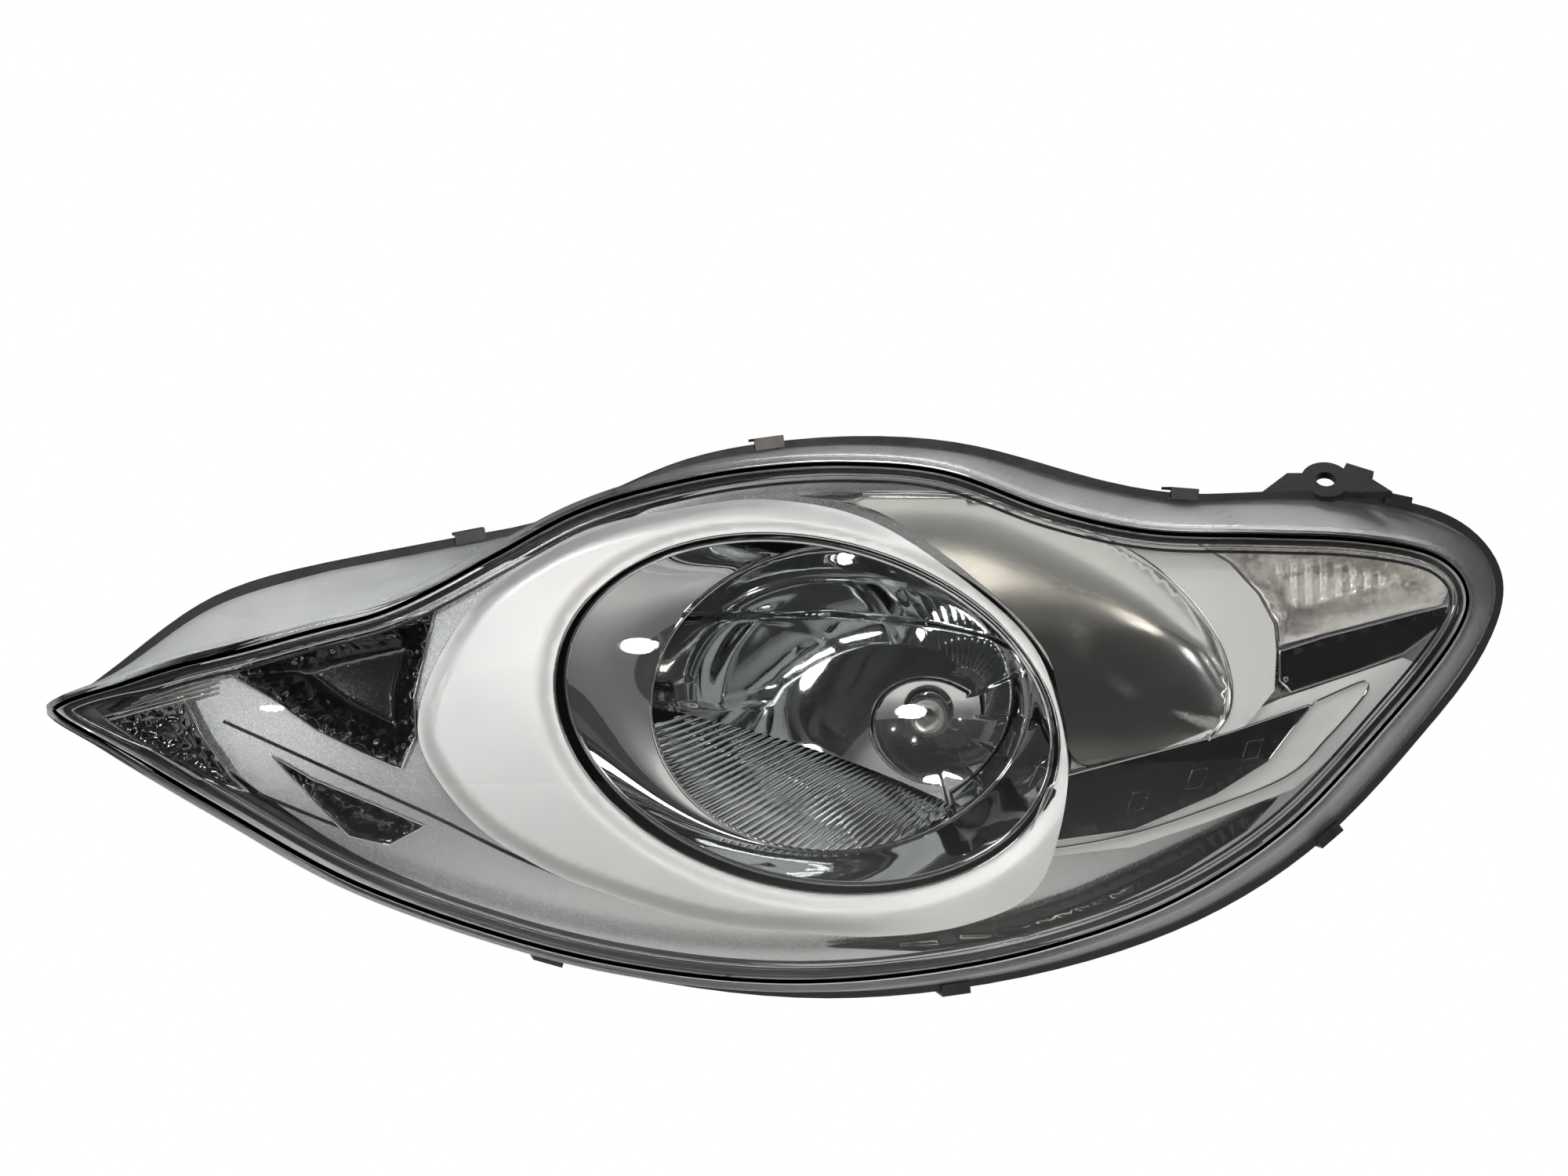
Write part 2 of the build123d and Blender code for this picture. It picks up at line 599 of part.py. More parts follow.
with BuildPart() as motor_pins:
    with BuildSketch(behind(MOTOR_BACK - 16, (MOTOR_AT[0], MOTOR_AT[1] - 19))):
        with GridLocations(7, 1, 3, 1):
            Rectangle(1.6, 0.8)
    extrude(amount=9)
write(motor_pins, "motor_pins")

SIDE_SCREW = 9.6  # the gear case's screw, outwards and upwards from the ball
with BuildPart() as side_gearcase:
    with BuildSketch(behind(REAR_WALL_Y, SIDE_BALL)):
        Circle(10)
        with Locations((-SIDE_SCREW, SIDE_SCREW)):
            Circle(5)
    extrude(amount=GEARCASE_BACK - REAR_WALL_Y)
    with BuildSketch(behind(REAR_WALL_Y - 1, SIDE_BALL)):
        Circle(STEM_RADIUS + 0.4)
    extrude(amount=GEARCASE_BACK - REAR_WALL_Y - 3 + 1, mode=Mode.SUBTRACT)
    with BuildSketch(behind(REAR_WALL_Y, SIDE_BALL)):
        Circle(2.4)
    extrude(amount=20, mode=Mode.SUBTRACT)
    with BuildSketch(behind(REAR_WALL_Y, SIDE_BALL)):
        with Locations((-SIDE_SCREW, SIDE_SCREW)):
            Circle(2)
    extrude(amount=20, mode=Mode.SUBTRACT)
write(side_gearcase, "side_gearcase")


def thumb_wheel(at, face_y):
    """Scalloped wheel with a short spigot that runs in the part in front of it."""
    with BuildPart() as wheel:
        with BuildSketch(behind(face_y + 0.3, at)):
            Circle(9.5)
            with PolarLocations(10.6, 10):
                Circle(2.2, mode=Mode.SUBTRACT)
        extrude(amount=8)
        with BuildSketch(behind(face_y + 5, at)):
            RegularPolygon(3, 6)
        extrude(amount=4, mode=Mode.SUBTRACT)
        with BuildSketch(level(face_y + 0.3, at)):
            Circle(2.1)
        extrude(amount=3.3)
    return wheel


height_wheel = thumb_wheel(HEIGHT_BALL, MOTOR_BACK)
write(height_wheel, "height_wheel")

side_wheel = thumb_wheel(SIDE_BALL, GEARCASE_BACK)
write(side_wheel, "side_wheel")


def screw(at, seat_y, length):
    """Pan-head screw driven from the back, with a hexagon drive."""
    with BuildPart() as fastener:
        with BuildSketch(behind(seat_y, at)):
            Circle(3.6)
        extrude(amount=2.6)
        with BuildSketch(behind(seat_y + 1, at)):
            RegularPolygon(1.6, 6)
        extrude(amount=3, mode=Mode.SUBTRACT)
        with BuildSketch(level(seat_y, at)):
            Circle(1.9)
        extrude(amount=length)
    return fastener.part


SCREWS = [
    ((MOTOR_AT[0] + 27, MOTOR_AT[1] + 8), REAR_WALL_Y + 5, 4.8),
    ((MOTOR_AT[0] - 27, MOTOR_AT[1] - 8), REAR_WALL_Y + 5, 4.8),
    ((SIDE_BALL[0] + SIDE_SCREW, SIDE_BALL[1] + SIDE_SCREW), GEARCASE_BACK, 13.8),
]
screws = [screw(*place) for place in SCREWS]
with BuildPart() as mechanism_screws:
    add(screws)
write(mechanism_screws, "mechanism_screws")

# ---------------------------------------------------------------- dust cap
CAP_FLOOR = 48
with BuildPart() as dust_cap:
    with BuildSketch(behind(28)):
        Circle(CAP_NECK_RADIUS + NECK_WALL + 3.4)
    extrude(amount=CAP_FLOOR + 3 - 28)
    fillet(dust_cap.faces().sort_by(Axis.Y)[-1].edges(), 2)
    with BuildSketch(behind(27)):
        Circle(CAP_NECK_RADIUS + NECK_WALL + 0.6)
    extrude(amount=CAP_FLOOR - 27, mode=Mode.SUBTRACT)
    with BuildSketch(behind(29)):
        with PolarLocations(55.5, 3, start_angle=HOOK_ANGLES[0]):
            Rectangle(7, 13)
        Circle(CAP_NECK_RADIUS + NECK_WALL + 0.6, mode=Mode.SUBTRACT)
    extrude(amount=4)
    with BuildSketch(behind(CAP_FLOOR + 2)):
        RectangleRounded(78, 9, 4)
    extrude(amount=11)
    with BuildSketch(behind(CAP_FLOOR + 2)):
        Circle(40)
        Circle(37.5, mode=Mode.SUBTRACT)
    extrude(amount=3)
write(dust_cap, "dust_cap")

with BuildPart() as cap_gasket:
    with BuildSketch(behind(CAP_NECK_END + 0.3)):
        Circle(CAP_NECK_RADIUS + NECK_WALL + 0.5)
        Circle(CAP_NECK_RADIUS, mode=Mode.SUBTRACT)
    extrude(amount=CAP_FLOOR - CAP_NECK_END - 0.3)
write(cap_gasket, "cap_gasket")


# ---------------------------------------------------------------- twist-in bulb holders
def holder(at, face_y, body_radius, flange_radius, tail):
    """Bayonet bulb holder: flange outside the boss, body through it and lugs behind its floor."""
    with BuildPart() as socket:
        with BuildSketch(behind(face_y + 0.3, at)):
            Circle(flange_radius)
        extrude(amount=3)
        with BuildSketch(level(face_y + 1, at)):
            Circle(body_radius)
        extrude(amount=14)
        with BuildSketch(level(face_y - HOUSING_WALL - 0.4, at)):
            Rectangle(2 * body_radius + 4, 7)
        extrude(amount=3)
        with BuildSketch(behind(face_y + 3, at)):
            RectangleRounded(*tail, 2)
        extrude(amount=13)
        with BuildSketch(behind(face_y + 3, at)):
            Rectangle(2 * flange_radius - 4, 3)
        extrude(amount=7)
    return socket


def blades(at, face_y):
    """Two contact blades on a holder's tail."""
    with BuildPart() as pair:
        with BuildSketch(behind(face_y + 16, at)):
            with GridLocations(6, 1, 2, 1):
                Rectangle(0.8, 4.8)
        extrude(amount=6)
    return pair


indicator_holder = holder(INDICATOR_BULB, INDICATOR_FACE, 14.2, 17.5, (17, 13))
write(indicator_holder, "indicator_holder")

position_holder = holder(POSITION_BULB, POSITION_FACE, 10.2, 13, (13, 10))
write(position_holder, "position_holder")

indicator_contacts = blades(INDICATOR_BULB, INDICATOR_FACE)
write(indicator_contacts, "indicator_contacts")

position_contacts = blades(POSITION_BULB, POSITION_FACE)
write(position_contacts, "position_contacts")

with BuildPart() as indicator_base:
    with BuildSketch(level(INDICATOR_FACE - 13, INDICATOR_BULB)):
        Circle(7.5)
    extrude(amount=18)
write(indicator_base, "indicator_base")

with BuildPart() as indicator_bulb:
    with BuildSketch(level(INDICATOR_FACE - 31, INDICATOR_BULB)):
        Circle(7)
    extrude(amount=24)
    with Locations(AXIS + Vector(INDICATOR_BULB[0], INDICATOR_FACE - 64, INDICATOR_BULB[1])):
        Sphere(12.2)
write(indicator_bulb, "indicator_bulb")

with BuildPart() as position_bulb:
    with BuildSketch(level(POSITION_FACE - 13, POSITION_BULB)):
        Circle(5)
    extrude(amount=26)
    fillet(position_bulb.faces().sort_by(Axis.Y)[0].edges(), 3.8)
write(position_bulb, "position_bulb")

# ---------------------------------------------------------------- main socket and vent
with BuildPart() as main_socket:
    with BuildSketch(behind(REAR_WALL_Y, SOCKET_AT)):
        RectangleRounded(34, 17, 3)
    extrude(amount=21)
    with BuildSketch(behind(REAR_WALL_Y + 4, SOCKET_AT)):
        RectangleRounded(30, 13, 2)
    extrude(amount=20, mode=Mode.SUBTRACT)
write(main_socket, "main_socket")

with BuildPart() as socket_pins:
    with BuildSketch(behind(REAR_WALL_Y - 6, SOCKET_AT)):
        with GridLocations(5.5, 1, 5, 1):
            Rectangle(2.4, 0.8)
    extrude(amount=22)
    add(main_socket.part, mode=Mode.SUBTRACT)
write(socket_pins, "socket_pins")

with BuildPart() as vent_cap:
    with BuildSketch(behind(REAR_WALL_Y, (6, -72))):
        Circle(5)
    extrude(amount=5)
    with BuildSketch(behind(REAR_WALL_Y + 5, (6, -72))):
        Circle(8)
    extrude(amount=7)
    fillet(vent_cap.faces().sort_by(Axis.Y)[-1].edges(), 1.5)
write(vent_cap, "vent_cap")
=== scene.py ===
"""Looks of the car headlight assembly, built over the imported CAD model."""

from math import atan2, cos, pi, radians, sin, tan

import bpy
import numpy as np
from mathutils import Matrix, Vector
from mathutils.geometry import delaunay_2d_cdt


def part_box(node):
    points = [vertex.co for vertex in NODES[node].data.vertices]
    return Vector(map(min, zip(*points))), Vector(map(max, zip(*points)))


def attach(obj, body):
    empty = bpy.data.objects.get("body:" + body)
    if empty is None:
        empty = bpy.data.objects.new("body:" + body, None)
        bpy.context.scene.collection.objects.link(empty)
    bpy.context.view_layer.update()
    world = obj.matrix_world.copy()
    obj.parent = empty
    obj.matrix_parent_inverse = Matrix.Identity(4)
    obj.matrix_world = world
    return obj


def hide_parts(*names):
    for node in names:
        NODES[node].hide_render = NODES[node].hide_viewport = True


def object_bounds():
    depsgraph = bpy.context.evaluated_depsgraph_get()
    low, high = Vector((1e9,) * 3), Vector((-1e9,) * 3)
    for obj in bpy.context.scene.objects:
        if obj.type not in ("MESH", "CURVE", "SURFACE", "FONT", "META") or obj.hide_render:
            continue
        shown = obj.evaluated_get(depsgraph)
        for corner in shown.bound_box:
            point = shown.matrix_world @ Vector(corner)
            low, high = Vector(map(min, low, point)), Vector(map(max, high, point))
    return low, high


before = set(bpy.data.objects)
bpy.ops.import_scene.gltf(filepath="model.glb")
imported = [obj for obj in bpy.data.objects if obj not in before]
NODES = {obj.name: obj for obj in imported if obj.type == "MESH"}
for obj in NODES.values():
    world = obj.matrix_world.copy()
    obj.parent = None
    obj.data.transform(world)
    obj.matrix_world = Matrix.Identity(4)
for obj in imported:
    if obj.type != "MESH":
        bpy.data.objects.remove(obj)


def note_size():
    """Bring the view layer up to date, so that the object's box is current."""
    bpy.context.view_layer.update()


note_size()

# ---------------------------------------------------------------- driving dimensions
# Lengths are millimetres from the main bulb's axis and the plane of its seat: x to the right seen
# from the front, y back into the car, z up.

MM = 0.001
SEAT_DEPTH = 6  # the seat ring reaches this far behind its plane
seat_low, seat_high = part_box("bulb_seat")
ORIGIN = (seat_low + seat_high) / 2
ORIGIN.y = seat_high.y - SEAT_DEPTH * MM
BOX_FRONT = (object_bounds()[0][1] - ORIGIN.y) / MM  # nothing stands further forward than the CAD model

SEAM_Y, SEAM_SWEEP = -88.1, radians(15.4)  # the plane where lens and housing meet
FOOT_INSET = 5.4  # the lens stands this far inside the rim of the housing
LENS_FORWARD = 56  # from the seam plane to the shoulder outline
LENS_WALL = 3.0
TIP_X, LENGTH, TIP_Y = -370, 610, -202  # the outer surface of the lens
SWEEP, CURVE, RAKE, CROWN = 0.05, 0.19, 0.05, 0.0012

VERTEX_Y, FOCAL_LENGTH = -12.0, 30.0
HOLE_RADIUS = 9.6
BOWL_WALL = 1.5
RING_CENTRE, RING_RADII, RING_Y, RING_SWEEP = (-34, 14), (82, 68), -84, radians(29.6)
MOUTH_CENTRE, MOUTH_RADII, MOUTH_TILT = (-47, 11), (105, 71), radians(-15.7)
MOUTH_Y, MOUTH_SWEEP = -122.5, radians(13.2)

# rim of the housing and shoulder of the lens, on their swept planes, clockwise from the tip
RIM = [
    (-370, 16), (-342, 36), (-307, 61), (-267, 74), (-232, 81), (-199, 87), (-169, 93), (-140, 105),
    (-107, 119), (-70, 127), (-28, 130), (22, 126), (72, 113), (119, 105), (169, 106), (221, 102),
    (258, 88), (273, 66), (267, 38), (237, -2), (189, -50), (134, -84), (74, -104), (14, -114),
    (-45, -116), (-104, -109), (-166, -94), (-239, -66), (-297, -32), (-345, -3),
]  # fmt: skip
SHOULDER = [
    (-376, 21), (-338, 20), (-300, 15), (-253, 32), (-232, 42), (-216, 56), (-193, 76), (-161, 96),
    (-131, 103), (-87, 111), (-40, 114), (1, 111), (48, 94), (90, 84), (139, 78), (178, 74),
    (217, 70), (236, 57), (233, 40), (208, 8), (162, -40), (110, -71), (54, -89), (-2, -98),
    (-57, -100), (-113, -94), (-171, -80), (-241, -54), (-298, -23), (-344, 3),
]  # fmt: skip

# outlines of the panels, (x, z), clockwise seen from the front
BEZEL = [
    (-322, 14), (-296, 36), (-260, 55), (-200, 70), (-150, 83), (-100, 104), (-40, 114), (20, 110),
    (70, 97), (120, 89), (170, 89), (210, 84), (238, 70), (244, 52), (228, 24), (186, -24),
    (138, -58), (80, -85), (0, -98), (-80, -95), (-160, -77), (-230, -49), (-284, -13),
]  # fmt: skip
CRESCENT = [
    (-145, 88), (-105, 98), (-64, 102), (-20, 92), (24, 62), (50, 34), (62, -8), (58, -44),
    (46, -68), (18, -80), (-18, -84), (-51, -82), (-90, -77), (-135, -62), (-161, -50),
    (-186, -32), (-205, -6), (-208, 15), (-197, 43), (-178, 68),
]  # fmt: skip
SIDE_BOWL = [
    (-26, 105), (25, 103), (73, 88), (105, 69), (126, 45), (134, 24), (133, 8), (124, -3),
    (68, -12), (54, 34), (24, 66), (-20, 97), (-56, 104),
]  # fmt: skip
SIDE_BAND = [
    (40, 100), (72, 91), (94, 87), (117, 84), (134, 74), (147, 60), (154, 47), (155, 35), (154, 18),
    (140, 2), (124, -3), (133, 8), (134, 24), (126, 45), (105, 69), (73, 88),
]  # fmt: skip
CORNER_CELL = [
    (119, 84), (155, 87), (194, 85), (218, 78), (233, 68), (237, 60), (234, 54), (213, 50),
    (178, 42), (157, 37), (156, 47), (149, 60), (136, 74),
]  # fmt: skip
CORNER_STRIP = [
    (236, 54), (234, 46), (214, 33), (193, 26), (162, 17), (157, 22), (157, 35), (178, 41), (222, 51),
]  # fmt: skip
WING = [(44, -46), (54, -22), (60, -17), (133, 0), (172, 12), (163, 2), (151, -13), (127, -27), (91, -41)]
WING_LINE = [
    (172, 12), (192, 20), (197, 20), (195, 14), (178, -4), (160, -20), (125, -33), (91, -43),
    (60, -48), (46, -48),
]  # fmt: skip
DARK_SWEEP = [
    (156, -30), (128, -44), (98, -57), (68, -69), (35, -79), (0, -86), (-40, -89), (0, -92), (45, -87),
    (80, -76), (112, -62), (142, -44),
]  # fmt: skip
WING_FRAME = [
    (157, 14), (214, 31), (222, 28), (207, 8), (163, -26), (125, -39), (91, -49), (56, -52), (46, -30),
]  # fmt: skip
INDICATOR_CELL = [
    (-288, 30), (-276, 37), (-250, 45), (-219, 52), (-203, 56), (-206, 42), (-211, 19), (-210, 4),
    (-216, -10), (-232, -3), (-250, 6), (-270, 20),
]  # fmt: skip
TIP_CELL = [(-336, 13), (-303, 21), (-296, 7), (-283, -12), (-276, -18), (-297, -12), (-318, 1)]
LOWER_SLOT = [(-270, -4), (-253, -14), (-227, -25), (-207, -34), (-222, -42), (-238, -38), (-248, -28)]
WING_CHIPS = ((92, -29), (118, -20), (143, -8))  # small marks moulded in the wing

# open lines, (x, z), of the folds in the bezel, where painted shade is drawn as dark beads
CREASES = (
    [(-290, 10), (-266, -1), (-236, -15), (-202, -31), (-165, -50), (-120, -68), (-60, -82)],
    [(-276, -20), (-255, -29), (-233, -38)],
    [(150, -50), (110, -70), (60, -88), (10, -97), (-50, -99), (-110, -92)],
)


# ---------------------------------------------------------------- shapes


def front_y(x, z):
    """The outer surface of the lens."""
    t = (x - TIP_X) / LENGTH
    y = TIP_Y + LENGTH * (SWEEP * t + CURVE * t * t) + RAKE * z + CROWN * z * z
    return np.maximum(y, BOX_FRONT)


def curve_through(points, per=8, closed=True):
    """A smooth line through the points, with per samples on each span."""
    p = np.array(points, float)
    count = len(p)
    spans = count if closed else count - 1
    t = np.arange(per)[:, None] / per
    out = []
    for i in range(spans):
        if closed:
            a, b, c, d = (p[(i + k) % count] for k in (-1, 0, 1, 2))
        else:
            a, b, c, d = (p[min(max(i + k, 0), count - 1)] for k in (-1, 0, 1, 2))
        square, cube = 2 * a - 5 * b + 4 * c - d, 3 * b - a - 3 * c + d
        out.append(0.5 * (2 * b + (c - a) * t + square * t**2 + cube * t**3))
    if not closed:
        out.append(p[-1:])
    return np.vstack(out)


def straight_through(points, step):
    """A closed outline with its corners kept, divided every step."""
    p = np.array(points, float)
    out = []
    for a, b in zip(p, np.roll(p, -1, axis=0)):
        n = max(1, round(np.linalg.norm(b - a) / step))
        out.append(a + (b - a) * (np.arange(n) / n)[:, None])
    return np.vstack(out)


def shrink(loop, amount):
    """A clockwise outline moved inwards."""
    along = np.roll(loop, -1, axis=0) - np.roll(loop, 1, axis=0)
    along /= np.linalg.norm(along, axis=1)[:, None]
    return loop + amount * np.stack([along[:, 1], -along[:, 0]], axis=1)


def ellipse(centre, radii, tilt=0.0, count=240, grow=0.0):
    """Points on an ellipse, clockwise."""
    t = -np.arange(count) * 2 * pi / count + pi
    a, b = (radii[0] + grow) * np.cos(t), (radii[1] + grow) * np.sin(t)
    return np.stack(
        [centre[0] + a * cos(tilt) - b * sin(tilt), centre[1] + a * sin(tilt) + b * cos(tilt)], axis=1
    )


def inside(points, loop):
    """Which of the points are inside the loop."""
    x, z = points[:, 0][:, None], points[:, 1][:, None]
    a, b = loop, np.roll(loop, -1, axis=0)
    crosses = (a[:, 1] > z) != (b[:, 1] > z)
    with np.errstate(divide="ignore", invalid="ignore"):
        at = a[:, 0] + (z - a[:, 1]) * (b[:, 0] - a[:, 0]) / (b[:, 1] - a[:, 1])
    return (np.sum(crosses & (x < at), axis=1) % 2) == 1


def distance(points, loop, closed=True):
    """How far each point is from the line."""
    a = loop if closed else loop[:-1]
    b = np.roll(loop, -1, axis=0) if closed else loop[1:]
    along = b - a
    out = np.empty(len(points))
    for start in range(0, len(points), 2000):
        p = points[start : start + 2000, None, :]
        t = np.clip(np.sum((p - a) * along, axis=2) / np.maximum(np.sum(along**2, axis=1), 1e-9), 0, 1)
        out[start : start + 2000] = np.min(np.linalg.norm(p - a - t[..., None] * along, axis=2), axis=1)
    return out


def fill(loop, step, holes=()):
    """Triangles that fill an outline: (points, faces)."""
    low, high = loop.min(axis=0), loop.max(axis=0)
    xs, zs = np.arange(low[0], high[0], step), np.arange(low[1], high[1], step * 0.866)
    grid = np.array([(x + (k % 2) * step / 2, z) for k, z in enumerate(zs) for x in xs])
    keep = inside(grid, loop) & (distance(grid, loop) > step * 0.6)
    for hole in holes:
        keep &= ~inside(grid, hole) & (distance(grid, hole) > step * 0.6)
    rings = [loop, *holes]
    points, edges = [], []
    for ring in rings:
        first = len(points)
        points += [tuple(p) for p in ring]
        edges += [(first + i, first + (i + 1) % len(ring)) for i in range(len(ring))]
    points += [tuple(p) for p in grid[keep]]
    found, _, faces, *_ = delaunay_2d_cdt([Vector(p) for p in points], edges, [], 1, 1e-5)
    found = np.array([tuple(p) for p in found])
    faces = np.array([tuple(f) for f in faces])
    middle = found[faces].mean(axis=1)
    keep = inside(middle, loop)
    for hole in holes:
        keep &= ~inside(middle, hole)
    return found, faces[keep]


def smoothstep(low, high, value):
    t = np.clip((value - low) / (high - low), 0, 1)
    return t * t * (3 - 2 * t)


# ---------------------------------------------------------------- objects


def piece(name, points, faces, mats, body="housing", replaces=(), slot=None, face_mats=None, smooth=True):
    """A mesh in millimetres, made into a piece that rides on a body."""
    mesh = bpy.data.meshes.new(name)
    at = np.array(points, float)
    at[:, 1] = np.maximum(at[:, 1], BOX_FRONT)
    at = at * MM + np.array(ORIGIN)
    mesh.from_pydata(at.tolist(), [], [tuple(int(i) for i in f) for f in faces])
    mesh.validate()
    obj = bpy.data.objects.new(name, mesh)
    bpy.context.scene.collection.objects.link(obj)
    for mat in mats if isinstance(mats, (list, tuple)) else [mats]:
        mesh.materials.append(mat)
    if face_mats is not None:
        mesh.polygons.foreach_set("material_index", np.asarray(face_mats, np.int32))
    mesh.polygons.foreach_set("use_smooth", [smooth] * len(mesh.polygons))
    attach(obj, body)
    if replaces:
        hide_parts(*replaces)
    return obj


def vertex_normals(points, faces):
    """Normals at the points of a sheet, weighted by area."""
    out = np.zeros_like(points)
    for size in (3, 4):
        some = np.array([f for f in faces if len(f) == size], int)
        if len(some):
            a, b, c, d = (points[some[:, k]] for k in (0, 1, 2, size - 1))
            across = np.cross(b - a, c - a) if size == 3 else np.cross(c - a, d - b)
            for k in range(size):
                np.add.at(out, some[:, k], across)
    return out / np.maximum(np.linalg.norm(out, axis=1), 1e-9)[:, None]


def closed_sheet(name, points, faces, wall, mats, normals=None, face_mats=None, **facts):
    """A sheet that faces forward, with its wall behind it: smooth on both sides, sharp at its rim."""
    points = np.asarray(points, float)
    faces = [tuple(int(i) for i in f) for f in faces]
    plain_normals = vertex_normals(points, faces)
    if plain_normals[:, 1].sum() > 0:
        faces = [f[::-1] for f in faces]
        plain_normals = -plain_normals
    count, sides = len(points), {(a, b) for f in faces for a, b in zip(f, f[1:] + f[:1])}
    rim = [(a, b) for a, b in sides if (b, a) not in sides]
    back = [tuple(i + count for i in f[::-1]) for f in faces]
    border = [(b, a, a + count, b + count) for a, b in rim]
    kinds = None if face_mats is None else [*face_mats, *face_mats] + [face_mats[0]] * len(border)
    obj = piece(
        name,
        np.vstack([points, points - wall * (plain_normals if normals is None else normals)]),
        faces + back + border,
        mats,
        face_mats=kinds,
        **facts,
    )
    mesh = obj.data
    ends = np.empty(len(mesh.edges) * 2, np.int64)
    mesh.edges.foreach_get("vertices", ends)
    ends = np.sort(ends.reshape(-1, 2), axis=1)
    rims = np.sort(np.array([*rim, *((a + count, b + count) for a, b in rim)]), axis=1)
    key = 2 * count + 1
    sharp = np.isin(ends[:, 0] * key + ends[:, 1], rims[:, 0] * key + rims[:, 1])
    mesh.edges.foreach_set("use_edge_sharp", sharp)
    if normals is not None and len(mesh.polygons) == len(faces) * 2 + len(border):
        each = []
        for f in faces:
            each += [tuple(normals[i]) for i in f]
        for f in faces:
            each += [tuple(-normals[i]) for i in f[::-1]]
        each += [(0.0, 0.0, 0.0)] * (4 * len(border))
        mesh.normals_split_custom_set(each)
    return obj


def surface_normals(points, height):
    """Forward normals of the surface y = height(x, z)."""
    step = 0.4
    x, z = points[:, 0], points[:, 1]
    over_x = (height(np.stack([x + step, z], 1)) - height(np.stack([x - step, z], 1))) / (2 * step)
    over_z = (height(np.stack([x, z + step], 1)) - height(np.stack([x, z - step], 1))) / (2 * step)
    out = np.stack([over_x, -np.ones(len(points)), over_z], axis=1)
    return out / np.linalg.norm(out, axis=1)[:, None]


def sheet(name, loop, depth, mat, wall=2.0, step=5.0, holes=(), **facts):
    """A panel: the outline filled, at front_y + depth(x, z), with a wall behind it."""
    points, faces = fill(loop, step, holes)

    def height(p):
        return front_y(p[:, 0], p[:, 1]) + (depth(p) if callable(depth) else depth)

    lifted = np.stack([points[:, 0], height(points), points[:, 1]], axis=1)
    return closed_sheet(name, lifted, faces, wall, mat, normals=surface_normals(points, height), **facts)


def grid_faces(rows, columns, closed):
    """Quads of a grid of rows, each closed into a ring or left open."""
    out = []
    for i in range(rows - 1):
        for j in range(columns if closed else columns - 1):
            k = (j + 1) % columns
            out.append((i * columns + j, i * columns + k, (i + 1) * columns + k, (i + 1) * columns + j))
    return out


def tube(name, line, radius, mat, sides=8, closed=True, squash=1.0, **facts):
    """A bead of round section along a line of points in millimetres."""
    line = np.asarray(line, float)
    if closed:
        along = np.roll(line, -1, axis=0) - np.roll(line, 1, axis=0)
    else:
        along = np.gradient(line, axis=0)
    along /= np.linalg.norm(along, axis=1)[:, None]
    out = np.cross(along, (0.0, 1.0, 0.0))
    out /= np.linalg.norm(out, axis=1)[:, None]
    up = np.cross(out, along)
    turn = np.arange(sides) * 2 * pi / sides
    points = line[:, None] + radius * (
        np.cos(turn)[None, :, None] * out[:, None] + squash * np.sin(turn)[None, :, None] * up[:, None]
    )
    count = len(line)
    faces = []
    for i in range(count if closed else count - 1):
        for j in range(sides):
            a, b = i * sides, ((i + 1) % count) * sides
            faces.append((a + j, b + j, b + (j + 1) % sides, a + (j + 1) % sides))
    if not closed:
        faces += [tuple(range(sides)), tuple(range((count - 1) * sides, count * sides))[::-1]]
    return piece(name, points.reshape(-1, 3), faces, mat, **facts)


def on_front(loop, depth):
    """An outline lifted to depth behind the lens's outer surface."""
    return np.stack([loop[:, 0], front_y(loop[:, 0], loop[:, 1]) + depth, loop[:, 1]], axis=1)


# ---------------------------------------------------------------- materials


